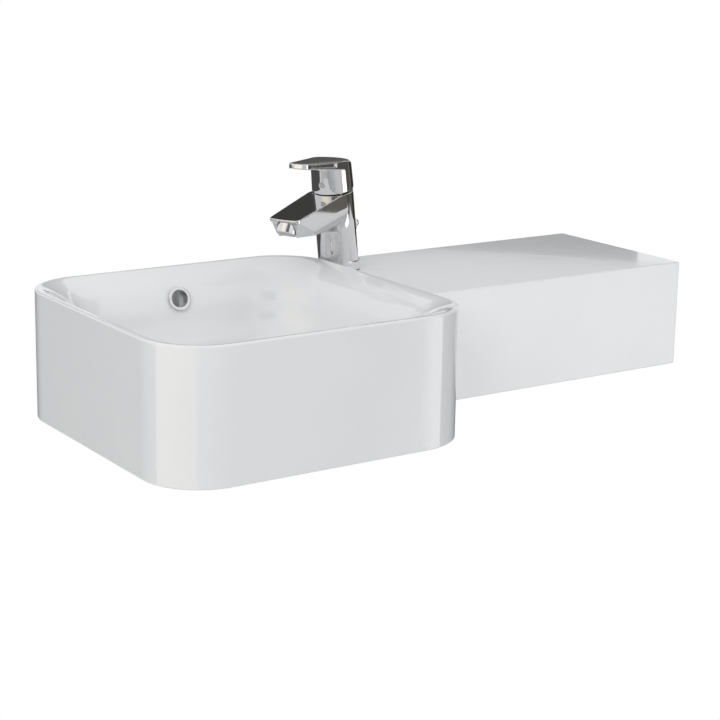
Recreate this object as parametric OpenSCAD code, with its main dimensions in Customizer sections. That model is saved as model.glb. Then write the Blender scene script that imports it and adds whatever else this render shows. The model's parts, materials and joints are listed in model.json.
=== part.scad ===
// Wall-hung wash basin with a side shelf, a single-lever tap and a pop-up waste.
// Axes: +X to the right along the wall, +Y towards the wall, +Z up. Lengths in millimetres.
// Origin: midway between the two wall fixing holes, on the back face.

/* [Basin] */
// Width of bowl and shelf together
total_width = 800; // [700:10:950]
// Width of the bowl, left to right
bowl_width = 375; // [330:5:420]
// Depth of the bowl, wall to front
bowl_depth = 370; // [330:5:420]
// Radius of the bowl's corners in plan
corner_radius = 67; // [55:1:75]
// Height from the underside to the rim
rim_height = 147; // [142:1:165]
// Depth of the shelf, wall to front
shelf_depth = 226; // [190:1:260]
// Height of the rim above the shelf
rim_above_shelf = 15; // [8:1:20]
// Thickness of the skirts and of the shelf
skirt_wall = 12; // [10:0.5:14]
// Thickness of the bowl shell
shell_wall = 10; // [8:0.5:12]

/* [Bowl interior] */
// Width of the rim's top
rim_land = 5; // [4:0.5:7]
// Drop from the rim to the floor at the waste
bowl_drop = 106; // [98:1:108]
// Inset of the steep part of the side
wall_inset = 40; // [34:1:44]
// Drop of the steep part of the side
wall_drop = 52; // [45:1:58]
// Inset at which the side has turned into the floor
floor_inset = 108; // [95:1:112]
// Fall of the floor from its edge to the waste
floor_fall = 3; // [2:0.5:5]
// Solid ceramic below the rim, before the hollow starts
rim_solid = 30; // [26:1:36]

/* [Holes in the ceramic] */
// Waste axis, distance from the wall
waste_from_wall = 155; // [145:1:170]
// Diameter of the waste hole
waste_hole_d = 46; // [45:0.5:48]
// Height of the waste boss's lower face above the underside
boss_height = 14; // [10:1:17]
// Tap axis, distance to the right of the bowl
tap_from_bowl = 26; // [26:1:60]
// Tap axis, distance from the wall
tap_from_wall = 50; // [46:1:56]
// Diameter of the tap hole
tap_hole_d = 35; // [34:0.5:36]
// Drop of the overflow hole below the rim
overflow_drop = 33; // [31:1:37]
// Upward tilt of the overflow hole
overflow_tilt = 20; // [14:1:24]
// Diameter of the overflow hole
overflow_hole_d = 22.5; // [20:0.5:23]
// Width of the overflow duct's web
duct_width = 30; // [28:1:36]
// Diameter of the overflow duct
duct_d = 14; // [11:0.5:15]

/* [Wall fixing] */
// Spacing of the two wall fixing holes
bolt_spacing = 280; // [240:10:300]
// Height of the fixing holes above the underside
bolt_height = 40; // [36:1:44]
// Bore of the fixing bushes
bush_bore = 11; // [10:0.5:12]
// Outer diameter of the fixing bushes
bush_d = 19; // [17:0.5:20]
// Flange diameter of the fixing bushes
bush_flange_d = 27; // [24:0.5:29]
// Flange thickness of the fixing bushes
bush_flange = 2.5; // [2:0.5:4]

/* [Waste] */
// Diameter of the waste flange
flange_d = 63; // [60:0.5:65]
// Edge thickness of the waste flange
flange_edge = 2; // [1.5:0.25:2.5]
// Thickness of the seal under the flange
flange_seal_t = 1.5; // [1:0.25:2]
// Diameter of the threaded shank
shank_d = 41.8; // [41:0.1:42.5]
// Length of the shank below the floor
shank_length = 52; // [50:0.5:53]
// Bore of the waste
waste_bore = 33; // [31:0.5:33]
// Thickness of the conical washer
cone_washer_t = 6; // [5:0.5:7]
// Thickness of the slip washer
slip_washer_t = 1.5; // [1:0.25:2]
// Height of the backnut
backnut_h = 7; // [6:0.5:8]
// Width across the backnut's flats
backnut_flats = 54; // [52:1:58]
// Height of the tee below the end of the shank
tee_drop = 27; // [26:0.5:30]
// Depth of the ball lever's port below the end of the shank
port_drop = 10.5; // [9.5:0.5:11.5]
// Diameter of the tailpiece
tail_d = 32; // [30:0.5:32]
// Wall of the tailpiece
tail_wall = 1.4; // [1:0.1:2]
// Length of the tailpiece that shows
tail_length = 24; // [20:1:25]
// Diameter of the plug's cap
plug_d = 40; // [38:0.5:42]
// Lift of the open plug
plug_lift = 6.1; // [5.9:0.1:6.3]

/* [Pop-up rods] */
// Diameter of the ball on the lever
ball_d = 12; // [11:0.5:12.5]
// Diameter of the ball lever's rod
lever_rod_d = 4; // [3.5:0.25:4.5]
// Distance from the waste axis to the ball
pivot_arm = 29; // [28:0.5:31]
// Angle of the ball lever below level when the plug is open
lever_tilt = 5.9; // [5.5:0.1:6.3]
// Diameter of the lift rod
lift_rod_d = 5; // [4:0.25:5.5]
// Backward lean of the lift rod
rod_lean = 24; // [22:0.5:26]
// Lift rod axis, distance behind the tap axis at the deck
rod_foot = 14.5; // [13.5:0.5:15]
// Travel of the lift rod
lift_travel = 36; // [30:1:37]
// Diameter of the lift knob
knob_d = 9.6; // [8:0.2:11]
// Height of the lift knob above the deck
knob_height = 51; // [46:1:60]
// Sideways distance between the two crossed rods
cross_offset = 8.5; // [8:0.25:10]

/* [Tap body] */
// Forward lean of the tap
lean = 10; // [6:0.5:11]
// Diameter of the tap's column
column_d = 48.6; // [47:0.2:52]
// Length of the column along its lean
column_h = 99.5; // [97:0.5:106]
// Diameter of the foot
foot_d = 51.2; // [50:0.2:54]
// Height of the foot
foot_h = 12; // [10:1:14]
// Length of the spout from the tap axis
spout_length = 115; // [111:1:122]
// Width of the spout's end
spout_end_w = 40; // [36:1:43]
// Thickness of the spout's front lip
lip_t = 4.5; // [4:0.5:6]
// Height of the spout where it leaves the column
spout_root_h = 38; // [34:1:40]
// Radius of the spout's rounded underside
spout_round = 27; // [26:0.5:30]
// Diameter of the waterway
waterway_d = 10; // [8:0.5:11]

/* [Aerator] */
// Diameter of the aerator's casing
aerator_d = 24.4; // [22:0.2:25]
// Length of casing that shows
aerator_show = 8; // [6:0.5:9]
// Forward tilt of the aerator from the column's axis
aerator_tilt = 34; // [28:1:36]
// Distance of the aerator's face from the tap axis
aerator_reach = 105; // [101.5:0.5:105.5]
// Drop of the aerator's face below the spout's top
aerator_face_drop = 12.4; // [12:0.2:14]
// Depth of the aerator's thread
aerator_thread = 4.5; // [3:0.25:4.5]

/* [Cartridge] */
// Diameter of the cartridge housing
cartridge_d = 35; // [33:0.5:36]
// Height of the cartridge housing
cartridge_h = 30; // [28:0.5:32]
// Diameter of the cartridge's rotor
rotor_d = 26.6; // [25:0.2:27]
// Thickness of each ceramic disc
disc_t = 3; // [2.5:0.25:3.5]
// Width of the square stem
stem_w = 8; // [7:0.25:8.5]
// Diameter of the pin through the stem
stem_pin_d = 3; // [2.5:0.25:3.5]
// Diameter of the cartridge nut
nut_d = 41; // [40:0.2:42]
// Height of the cartridge nut
nut_h = 7.5; // [6:0.5:8]
// Diameter of the dome ring at its foot
dome_d = 35; // [34:0.5:36]
// Height of the dome ring
dome_h = 4.5; // [3:0.5:4.5]

/* [Handle] */
// Diameter of the hood at its lower edge
hood_d = 50.4; // [49:0.2:52]
// Diameter of the hood at its top
hood_top_d = 48.2; // [46:0.2:49]
// Height of the hood's top above the column
hood_h = 39; // [37:0.5:42]
// Gap between the hood and the column at the front
hood_gap = 3.2; // [2.8:0.2:4]
// Wall of the hood
hood_wall = 3; // [2.5:0.25:3.5]
// Lift of the handle from closed to fully open
lift_angle = 20; // [14:1:20]
// Rise of the lever's top above level
lever_rise = 2; // [0:0.5:4]
// Length of the lever from the hood's axis
lever_length = 79.5; // [72:0.5:90]
// Width of the lever's tip
lever_tip_w = 24; // [20:1:28]
// Thickness of the lever's tip
lever_tip_t = 5.5; // [5:0.5:7]
// Thickness of the lever at the hood
lever_root_t = 9.4; // [9:0.2:11]
// Diameter of the plain button over the handle's screw
button_d = 6.8; // [6:0.2:8]
// Height of the button above the column
button_h = 13.5; // [13:0.5:16]

/* [Tap fixing] */
// Thickness of the seal under the tap
base_seal_t = 1.2; // [1:0.1:2]
// Diameter of the fixing stud
stud_d = 8; // [6:1:8]
// Distance of the stud in front of the tap axis
stud_offset = 11; // [10:0.5:12]
// Length of the stud below the deck
stud_length = 22; // [19:0.5:24]
// Diameter of the horseshoe washers
horseshoe_d = 48; // [44:1:50]
// Thickness of each horseshoe washer
horseshoe_t = 3; // [2:0.5:3.5]
// Sideways distance of each inlet from the middle
inlet_offset = 9.5; // [9:0.25:10]
// Bore of each threaded inlet
inlet_d = 9; // [8.5:0.25:9]
// Depth of each threaded inlet
inlet_depth = 10; // [8:0.5:12]

/* [Hidden] */
$fn = 48;
eps = 0.01;
fit = 0.1;            // clearance between pieces that are screwed or pushed together
slip = 0.06;          // radial clearance of a rod that slides or turns in a bore
seal_fit = 0.2;       // clearance round rubber pieces
seal_inset = 0.5;     // how far a flat seal stays back from the edge of what presses it
big = 400;            // reach of cutting blocks
// Every other cutting solid runs 1 mm past the faces that it opens

// Heights and places in the basin
z_low = -bolt_height;
z_rim = z_low + rim_height;
z_deck = z_rim - rim_above_shelf;
z_floor = z_rim - bowl_drop;
z_boss = z_low + boss_height;
x_left = -total_width / 2;
bowl_right = x_left + bowl_width;
bowl_mid = [x_left + bowl_width / 2, -bowl_depth / 2];
bowl_half = [bowl_width / 2, bowl_depth / 2];
inner_corner = corner_radius - rim_land;
waste_at = [bowl_mid.x, -waste_from_wall];
tap_at = [bowl_right + tap_from_bowl, -tap_from_wall];

// Bowl shell, boss and overflow duct
shell_overlap = 14;       // how far the shell's form runs up into the solid rim
floor_extra = 2;          // extra thickness of the shell under the waste recess
boss_r = waste_hole_d / 2 + shell_wall + 4;
duct_back = 3;            // ceramic between the duct and the back skirt
duct_floor = 2;           // ceramic below the duct
duct_rise = 4;            // how far the duct runs above the middle of the overflow hole
web_rise = 12;            // how far the web round the duct runs above it
duct_y = -skirt_wall - duct_d / 2 - duct_back;
duct_low = z_boss + duct_d / 2 + duct_floor;

// Waste recess and stack of rings
recess_gap = 1;           // ceramic glaze gap round the waste flange
flange_proud = 0.5;       // how far the flange's edge stands above the floor
recess_r = flange_d / 2 + recess_gap;
recess_depth = flange_edge + flange_seal_t - flange_proud;
seat_z = z_floor - recess_depth;
flange_top = seat_z + flange_seal_t + flange_edge;
shank_end = z_floor - shank_length;
tee_low = shank_end - tee_drop;
port_z = shank_end - port_drop;
dish = 2.5;               // countersink at the top of the waste's bore
window = [10, 7];         // width and height of each overflow window in the shank
window_rise = 5;          // height of the windows above the boss's lower face
washer_lip = 4;           // how far the conical washer reaches past the waste hole
washer_flare = 1;         // how far its lower edge reaches past the backnut's flats

// Tee: a head screwed on the shank, a body, a foot with the tailpiece's socket, and a side port
head_wall = 3.6;
head_h = 9;
head_below = 4;           // part of the head below the end of the shank
shank_gap = 1.5;          // gap below the end of the shank, filled by the seal
tee_wall = 4;
foot_extra = 1.5;         // how much thicker the tee's foot is than its body
tee_foot_h = 10;
socket_h = 8;
tee_body_r = waste_bore / 2 + tee_wall;
port_r = ball_d / 2 + 3.6;
port_bore_r = ball_d / 2 + 1.6;
port_start = tee_body_r + 0.5;
port_throat_r = lever_rod_d / 2 + 2.2;
port_length = pivot_arm + ball_d / 2 + 3;
tail_in = 6;              // length of the tailpiece inside the socket
tail_collar = [2, 5];     // width and height of the tailpiece's collar

// Plug
cap_edge = 1.6;           // height of the cap's straight edge
cap_bevel = [4, 1.2];     // width and height of the cap's bevel
cap_gap = 0.3;            // gap between the closed cap and the flange
plug_top = flange_top + cap_gap + plug_lift;
stem_r = 3;
stem_in_cap = 1;
hub_r = 7.9;              // disc at the top of the stem, inside the seal
hub_h = 3;
plug_seal_t = 1.7;
plug_seal_over = 0.7;     // how far the seal reaches past the bore
fin_t = 1.6;              // guide fins: thickness, gap to the bore, start above the eye, gap below the cap
fin_gap = 0.5;
fin_start = 18;
fin_stop = 4;
eye_block = [5, 12, 13];  // block at the foot of the stem that holds the eye

// Overflow trim ring
ring_bore_r = overflow_hole_d / 2 - 1.2;
ring_lip = 2.75;          // how far the ring's flange reaches past the hole
ring_seat = 1.2;          // height of the ring's flange above the curved wall at its middle
ring_t = 2;
ring_fit = 0.3;           // clearance of the ring in the glazed hole
ring_depth = 8;

// The tap is turned towards the waste, and both rods lie in the plane between them
tap_turn = atan2(waste_at.y - tap_at.y, waste_at.x - tap_at.x);
tap_to_waste = norm(waste_at - tap_at);
pivot_drop = z_deck - port_z;
cross_z = -(pivot_drop + (tap_to_waste - pivot_arm + rod_foot) * tan(lever_tilt))
    / (1 + tan(rod_lean) * tan(lever_tilt));
cross_r = -rod_foot - cross_z * tan(rod_lean);
lever_side = atan(cross_offset / (tap_to_waste - cross_r));
lever_turn = tap_turn + 180 - lever_side;
outer_arm = norm([tap_to_waste - cross_r, cross_offset]) - pivot_arm;
arm_spare = lift_travel * sin(rod_lean) + 10;
rod_r = lift_rod_d / 2;
lever_r = lever_rod_d / 2;
clamp_half = [6, 7];      // half length along the tap's direction and half height
clamp_play = 1.6;         // the opened linkage needs play in the clamp's hole and in the eye
eye_play = 0.8;
clamp_hole_r = lever_r + clamp_play;
eye_hole_r = lever_r + eye_play;
lever_tip = 5;            // length of the ball lever past the eye
seat_r = lever_r + 2.5;
seat_reach = sqrt(pow(ball_d / 2, 2) - pow(seat_r, 2));
ball_nut_wall = 3.4;
ball_nut_skirt = 6;       // length of the ball nut on the port
ball_nut_roof = 2.6;
rod_tail = 14;            // length of the lift rod below the crossing
cross_s = cross_z / cos(rod_lean);
knob_s = knob_height / cos(rod_lean);
knob_neck = 3;            // length of the neck below the knob's ball
neck_wall = 1;
clamp_wall = 3;
clamp_end = 2;
screw_r = 2;              // clamp screw
screw_l = 5;
screw_head = [4, 2.5];    // radius and height of the clamp screw's head
eye_lift = pivot_arm * sin(lever_tilt);

// Tap: the leaning frame starts at the deck and runs up the column
column_r = column_d / 2;
hood_r = hood_d / 2;
chamber_top = column_h - nut_h;
chamber_floor = chamber_top - cartridge_h;
cartridge_r = cartridge_d / 2;
chamber_r = cartridge_r + fit;
nut_r = nut_d / 2;
rotor_r = rotor_d / 2;
rotor_top = column_h + 3.5;
stem_pivot = column_h;
cup_t = 3;                // thickness of the housing's floor
inlet_port = [-4, 6];     // place of each inlet hole in the housing and the fixed disc
inlet_port_r = 2.5;
outlet_port = 8;
outlet_port_r = 3;
port_seal_w = 1.4;        // width of the rings round the housing's three holes
port_seal_gap = 0.1;
disc_inset = 1;           // how much smaller the moving disc is than the fixed one
pocket = [2, 5];          // place and radius of the mixing pocket under the moving disc
rotor_slot_wall = 2.5;
rotor_slot_fit = 0.3;
rotor_slot_floor = 4;
stem_below = 14;          // length of the stem below its pivot
nut_gap = 0.4;            // gap between the rotor and the rings round it
dome_sink = 0.45;
dome_slope = 2.2;
hood_inner_r = hood_r - hood_wall;
hood_roof = column_h + hood_h - lever_root_t - 0.6;
hood_spare = 8;           // hood above its top, cut off level with the lever
hood_boss_low = column_h + 9.5;
hood_boss_r = stem_w / 2 + 4.5;
gap_slope = 2.5;          // how much the gap under the hood opens towards the back, in degrees
stem_top = hood_roof - 1;
hood_screw_r = 2.5;
hood_screw_l = 6;
button_seat = 3;          // depth of the button's hole, measured inwards from the hood's inside
button_proud = 0.1;       // how far the button stays back from the hood's face
tip_round = [4, 3, 1];    // length, width and bulge of the rounded corners at the lever's tip
tip_edge = [1.2, 1.5];    // height of the tip's straight edge and length of the slope below it
rotor_low = chamber_floor + cup_t + 2 * disc_t + fit;
recess_h = 6;
foot_wall = 6.6;
column_spare = 12;        // column below the deck, cut off level with the seal
inlet_back = 3;           // distance of the two inlets behind the tap axis
feed_d = 6;
stud_grip = 16;
thread_step = 1.1;        // step from the aerator's casing to its thread
thread_gap = 0.5;         // room above the aerator's thread
horseshoe_gap = [3, 28];  // where the horseshoe's opening starts and how wide it is
underside_z = z_deck - skirt_wall;

// Frames
module at_bowl(z) { translate([bowl_mid.x, bowl_mid.y, z]) children(); }
module at_waste(z) { translate([waste_at.x, waste_at.y, z]) children(); }
module at_tap() { translate([tap_at.x, tap_at.y, z_deck]) rotate([0, 0, tap_turn]) children(); }
module leaning() { at_tap() rotate([0, lean, 0]) children(); }
module on_lift_rod() { at_tap() translate([-rod_foot, 0, 0]) rotate([0, -rod_lean, 0]) children(); }
module at_port() { at_waste(port_z) rotate([0, 0, lever_turn]) children(); }
module along_port(x) { at_port() translate([x, 0, 0]) rotate([0, 90, 0]) children(); }
module on_lever() { at_port() translate([pivot_arm, 0, 0]) rotate([0, lever_tilt, 0]) children(); }
module at_overflow() {
    translate([bowl_mid.x, -overflow_inset, z_rim - overflow_drop]) rotate([90 - overflow_tilt, 0, 0])
        children();
}
module at_aerator() {
    leaning() translate([aerator_reach, 0, column_h - aerator_face_drop]) rotate([0, 180 - aerator_tilt, 0])
        children();
}
module on_arm() {
    leaning() translate([0, 0, column_h + hood_h]) rotate([0, -lean - lever_rise, 0]) children();
}

// Round shapes
module ring(r_out, r_in, h) {
    difference() {
        cylinder(r = r_out, h = h);
        translate([0, 0, -1]) cylinder(r = r_in, h = h + 2);
    }
}
module rounded_plate(half, r) {
    square([2 * half.x, 2 * (half.y - r)], center = true);
    square([2 * (half.x - r), 2 * half.y], center = true);
    for (sx = [-1, 1], sy = [-1, 1]) translate([sx * (half.x - r), sy * (half.y - r)]) circle(r = r);
}

// Bowl: the side is two Bezier curves of [inset, drop], and the floor runs on to the waste recess
function bez(p, t) = pow(1 - t, 3) * p[0] + 3 * pow(1 - t, 2) * t * p[1]
    + 3 * (1 - t) * t * t * p[2] + pow(t, 3) * p[3];
function bez_way(p, t) = pow(1 - t, 2) * (p[1] - p[0]) + 2 * (1 - t) * t * (p[2] - p[1])
    + t * t * (p[3] - p[2]);
wall_pt = [wall_inset, wall_drop];
edge_drop = bowl_drop - floor_fall;
upper = [[rim_land, 0], [rim_land + 17, 6], [wall_inset - 4, wall_drop - 32], wall_pt];
lower = [wall_pt, [wall_inset + 4, wall_drop + 30], [floor_inset - 50, edge_drop - 2],
    [floor_inset, edge_drop]];
upper_steps = 7;
lower_steps = 9;
corner_steps = 6;
side = concat([for (i = [0:upper_steps]) [bez(upper, i / upper_steps), bez_way(upper, i / upper_steps)]],
    [for (i = [1:lower_steps]) [bez(lower, i / lower_steps), bez_way(lower, i / lower_steps)]]);
// Inset of the bowl's back at the overflow, found by halving on the upper curve
function halve(a, b, n) = n == 0 ? (a + b) / 2
    : let(m = (a + b) / 2) bez(upper, m)[1] < overflow_drop ? halve(m, b, n - 1) : halve(a, m, n - 1);
overflow_inset = bez(upper, halve(0, 1, 20))[0];

// A side point moved outwards by t, square to the curve
function moved(p, t) = let(w = p[1] / norm(p[1])) p[0] + t * [-w[1], w[0]];
// One level of the bowl, as its corner points
function level(mid, half, r, z) = [for (q = [0:3], i = [0:corner_steps])
    let(a = 90 * (q + i / corner_steps), sx = (q == 0 || q == 3) ? 1 : -1, sy = q < 2 ? 1 : -1)
    [mid.x + sx * (half.x - r) + r * cos(a), mid.y + sy * (half.y - r) + r * sin(a), z]];
function side_level(p) = level(bowl_mid, [bowl_half.x - p[0], bowl_half.y - p[0]],
    min(inner_corner, bowl_half.x - p[0], bowl_half.y - p[0]), z_rim - p[1]);
function waste_level(r, z) = level(waste_at, [r, r], r - 1, z);
module lofted(levels) {
    n = len(levels[0]);
    m = len(levels);
    polyhedron(points = [for (l = levels) each l],
        faces = concat([[for (i = [n - 1:-1:0]) i]], [[for (i = [0:n - 1]) (m - 1) * n + i]],
            [for (k = [0:m - 2], i = [0:n - 1]) each
                [[k * n + i, k * n + (i + 1) % n, (k + 1) * n + i],
                 [k * n + (i + 1) % n, (k + 1) * n + (i + 1) % n, (k + 1) * n + i]]]));
}

module bowl_cavity() lofted(concat([side_level([rim_land, -5])], [for (p = side) side_level(p[0])],
    [waste_level(recess_r, z_floor)]));
module bowl_shell() {
    outer = [for (p = side) moved(p, shell_wall)];
    first = [for (p = outer) if (p[1] > rim_solid - shell_overlap) p];
    lofted(concat([side_level([first[0][0], rim_solid - shell_overlap - 6])],
        [for (p = first) side_level(p)], [waste_level(recess_r, z_floor - shell_wall - floor_extra)]));
}

// Ceramic
module hollow() {
    difference() {
        union() {
            at_bowl(z_low - 1) linear_extrude(rim_height - rim_solid + 1)
                rounded_plate(bowl_half - [skirt_wall, skirt_wall], corner_radius - skirt_wall);
            translate([bowl_right - corner_radius, skirt_wall - shelf_depth, z_low - 1])
                cube([x_left + total_width - bowl_right + corner_radius - skirt_wall,
                    shelf_depth - 2 * skirt_wall, z_deck - skirt_wall - z_low + 1]);
        }
        bowl_shell();
        at_waste(z_boss) cylinder(r = boss_r, h = z_floor - z_boss);
        translate([bowl_mid.x - duct_width / 2, waste_at.y, z_boss])
            cube([duct_width, waste_from_wall - skirt_wall + 1, z_rim - z_boss - overflow_drop + web_rise]);
    }
}
module basin() color("white") difference() {
    union() {
        at_bowl(z_low) linear_extrude(rim_height) rounded_plate(bowl_half, corner_radius);
        translate([bowl_right - corner_radius, -shelf_depth, z_low])
            cube([x_left + total_width - bowl_right + corner_radius, shelf_depth, z_deck - z_low]);
    }
    bowl_cavity();
    hollow();
    at_waste(seat_z) cylinder(r = recess_r, h = recess_depth + 1);
    at_waste(z_boss - 1) cylinder(d = waste_hole_d, h = z_floor - z_boss + 2);
    translate([bowl_mid.x, duct_y, duct_low - duct_d / 2])
        cylinder(d = duct_d, h = z_rim - overflow_drop + duct_rise - duct_low + duct_d / 2);
    translate([bowl_mid.x, duct_y, duct_low]) rotate([90, 0, 0])
        cylinder(d = duct_d, h = waste_from_wall + duct_y - waste_hole_d / 4);
    at_overflow() translate([0, 0, -(overflow_inset + duct_y)])
        cylinder(d = overflow_hole_d, h = overflow_inset + duct_y + ring_seat + 6);
    translate([tap_at.x, tap_at.y, underside_z - 1]) cylinder(d = tap_hole_d, h = skirt_wall + 2);
    for (sx = [-1, 1]) translate([sx * bolt_spacing / 2, 1, 0]) rotate([90, 0, 0])
        cylinder(d = bush_d + 2 * seal_fit, h = skirt_wall + 2);
}
module overflow_ring() color("silver") at_overflow() {
    translate([0, 0, ring_seat]) ring(overflow_hole_d / 2 + ring_lip, ring_bore_r, ring_t);
    translate([0, 0, -ring_depth])
        ring(overflow_hole_d / 2 - ring_fit, ring_bore_r, ring_depth + ring_seat + ring_t / 2);
}
module wall_bushes() color("gainsboro") for (sx = [-1, 1])
    translate([sx * bolt_spacing / 2, -skirt_wall, 0]) rotate([90, 0, 0]) difference() {
        union() {
            cylinder(d = bush_flange_d, h = bush_flange);
            translate([0, 0, -skirt_wall]) cylinder(d = bush_d, h = skirt_wall + eps);
        }
        translate([0, 0, -skirt_wall - 1]) cylinder(d = bush_bore, h = skirt_wall + bush_flange + 2);
    }

// Waste
module waste_flange() color("silver") at_waste(0) difference() {
    union() {
        translate([0, 0, flange_top - flange_edge]) cylinder(d = flange_d, h = flange_edge);
        translate([0, 0, shank_end]) cylinder(d = shank_d, h = flange_top - flange_edge - shank_end + eps);
    }
    translate([0, 0, shank_end - 1]) cylinder(d = waste_bore, h = flange_top - shank_end + 2);
    translate([0, 0, flange_top - dish])
        cylinder(r1 = waste_bore / 2, r2 = waste_bore / 2 + dish, h = dish + eps);
    for (a = [0:90:270]) rotate([0, 0, a]) translate([0, -window.x / 2, z_boss + window_rise])
        cube([shank_d, window.x, window.y]);
}
module flange_seal() color("dimgray") at_waste(seat_z)
    ring(flange_d / 2 - seal_inset, shank_d / 2 + seal_fit, flange_seal_t);
module lower_washer() color("dimgray") at_waste(z_boss - cone_washer_t) difference() {
    cylinder(r1 = backnut_flats / 2 + washer_flare, r2 = waste_hole_d / 2 + washer_lip,
        h = cone_washer_t);
    translate([0, 0, -1]) cylinder(r = shank_d / 2 + seal_fit, h = cone_washer_t + 2);
}
module slip_washer() color("gainsboro") at_waste(z_boss - cone_washer_t - slip_washer_t)
    ring(backnut_flats / 2, shank_d / 2 + fit, slip_washer_t);
module backnut() color("goldenrod") at_waste(z_boss - cone_washer_t - slip_washer_t - backnut_h)
    difference() {
        cylinder(d = backnut_flats / cos(30), h = backnut_h, $fn = 6);
        translate([0, 0, -1]) cylinder(r = shank_d / 2 + slip, h = backnut_h + 2);
    }
module waste_tee() color("silver") difference() {
    union() {
        at_waste(tee_low + socket_h) cylinder(r = tee_body_r, h = shank_end - tee_low - socket_h);
        at_waste(shank_end - head_below) cylinder(r = shank_d / 2 + head_wall, h = head_h);
        at_waste(tee_low) cylinder(r = tee_body_r + foot_extra, h = tee_foot_h);
        along_port(waste_bore / 2) cylinder(r = port_r, h = port_length - waste_bore / 2);
    }
    at_waste(shank_end - shank_gap) cylinder(r = shank_d / 2 + slip, h = head_h + 1);
    at_waste(tee_low - 1) cylinder(d = waste_bore, h = tee_drop + 2);
    at_waste(tee_low - 1) cylinder(r = tail_d / 2 + tail_collar.x + slip, h = socket_h + 1);
    along_port(0) cylinder(r = port_throat_r, h = port_length);
    along_port(port_start) cylinder(r = port_bore_r, h = port_length);
}
module tee_seal() color("dimgray") at_waste(shank_end - shank_gap + fit)
    ring(shank_d / 2 - fit, waste_bore / 2 + seal_inset, shank_gap - 2 * fit);
module tailpiece() color("silver") at_waste(tee_low - tail_length) difference() {
    union() {
        cylinder(d = tail_d, h = tail_length + tail_in);
        translate([0, 0, tail_length + tail_in - tail_collar.y])
            cylinder(r = tail_d / 2 + tail_collar.x, h = tail_collar.y);
    }
    translate([0, 0, -1]) cylinder(r = tail_d / 2 - tail_wall, h = tail_length + tail_in + 2);
}
module tail_seal() color("dimgray") at_waste(tee_low + tail_in + fit)
    ring(tail_d / 2 + tail_collar.x - seal_inset, tail_d / 2 - tail_wall + seal_inset,
        socket_h - tail_in - 2 * fit);
module plug_cap() color("silver") at_waste(plug_top) difference() {
    union() {
        cylinder(d = plug_d, h = cap_edge);
        translate([0, 0, cap_edge])
            cylinder(r1 = plug_d / 2, r2 = plug_d / 2 - cap_bevel.x, h = cap_bevel.y);
    }
    translate([0, 0, -1]) cylinder(r = stem_r + fit, h = stem_in_cap + 1 + seal_fit);
}
module plug_seal() color("dimgray") at_waste(plug_top - plug_seal_t)
    ring(waste_bore / 2 + plug_seal_over, hub_r + fit, plug_seal_t);
module plug_stem() color("gainsboro") at_waste(0) {
    eye_z = port_z + eye_lift;
    block_low = eye_z - eye_block.y / 2;
    fin_low = eye_z + fin_start;
    difference() {
        union() {
            translate([0, 0, eye_z + eye_block.y / 2])
                cylinder(r = stem_r, h = plug_top + stem_in_cap - eye_z - eye_block.y / 2);
            translate([0, 0, plug_top - hub_h]) cylinder(r = hub_r, h = hub_h - fit);
            for (a = [0:120:240]) rotate([0, 0, a + lever_turn + 60]) translate([0, -fin_t / 2, fin_low])
                cube([waste_bore / 2 - fin_gap, fin_t, plug_top - fin_stop - fin_low]);
            rotate([0, 0, lever_turn]) translate([-eye_block.x / 2, -eye_block.y / 2, block_low])
                cube(eye_block);
        }
        translate([0, 0, eye_z]) rotate([0, 0, lever_turn]) rotate([0, 90, 0])
            translate([0, 0, -eye_block.x]) cylinder(r = eye_hole_r, h = 2 * eye_block.x);
    }
}
module ball_lever() color("silver") on_lever() {
    sphere(d = ball_d);
    translate([-pivot_arm - lever_tip, 0, 0]) rotate([0, 90, 0])
        cylinder(r = lever_r, h = lever_tip + pivot_arm + outer_arm + arm_spare);
}
module ball_seat() color("gainsboro") along_port(port_start + fit)
    ring(port_bore_r - slip, seat_r, pivot_arm - seat_reach - port_start - 2 * fit);
module ball_gasket() color("dimgray") along_port(pivot_arm + seat_reach + fit)
    ring(port_bore_r - slip, seat_r, port_length - pivot_arm - seat_reach - fit);
module ball_nut() color("silver") difference() {
    along_port(port_length - ball_nut_skirt)
        cylinder(r = port_r + ball_nut_wall, h = ball_nut_skirt + ball_nut_roof, $fn = 6);
    along_port(port_length - ball_nut_skirt - 1) cylinder(r = port_r + slip, h = ball_nut_skirt + 1 + fit);
    along_port(port_length - 1) cylinder(r = seat_r + seal_inset, h = ball_nut_roof + 3);
}

// Lift rod and its clamp
module lift_rod() color("silver") on_lift_rod() translate([0, 0, cross_s - rod_tail])
    cylinder(r = rod_r, h = knob_s - cross_s + rod_tail);
module lift_knob() color("silver") on_lift_rod() difference() {
    union() {
        translate([0, 0, knob_s]) sphere(d = knob_d);
        translate([0, 0, knob_s - knob_d / 2 - knob_neck])
            cylinder(r = rod_r + neck_wall, h = knob_neck + knob_d / 5);
    }
    translate([0, 0, knob_s - knob_d]) cylinder(r = rod_r + eps, h = knob_d);
}
module rod_clamp() color("goldenrod") difference() {
    at_tap() translate([cross_r - clamp_half.x, -rod_r - clamp_wall, cross_z - clamp_half.y])
        cube([2 * clamp_half.x, rod_r + clamp_wall + cross_offset + clamp_hole_r + clamp_end,
            2 * clamp_half.y]);
    on_lift_rod() translate([0, 0, cross_s - 2 * clamp_half.y])
        cylinder(r = rod_r + slip, h = 4 * clamp_half.y);
    at_tap() translate([cross_r - clamp_half.x - 1, cross_offset, cross_z]) rotate([0, 90, 0])
        cylinder(r = clamp_hole_r, h = 2 * clamp_half.x + 2);
    at_tap() translate([cross_r, -rod_r, cross_z]) rotate([90, 0, 0])
        cylinder(r = screw_r + slip, h = screw_l);
}
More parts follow.
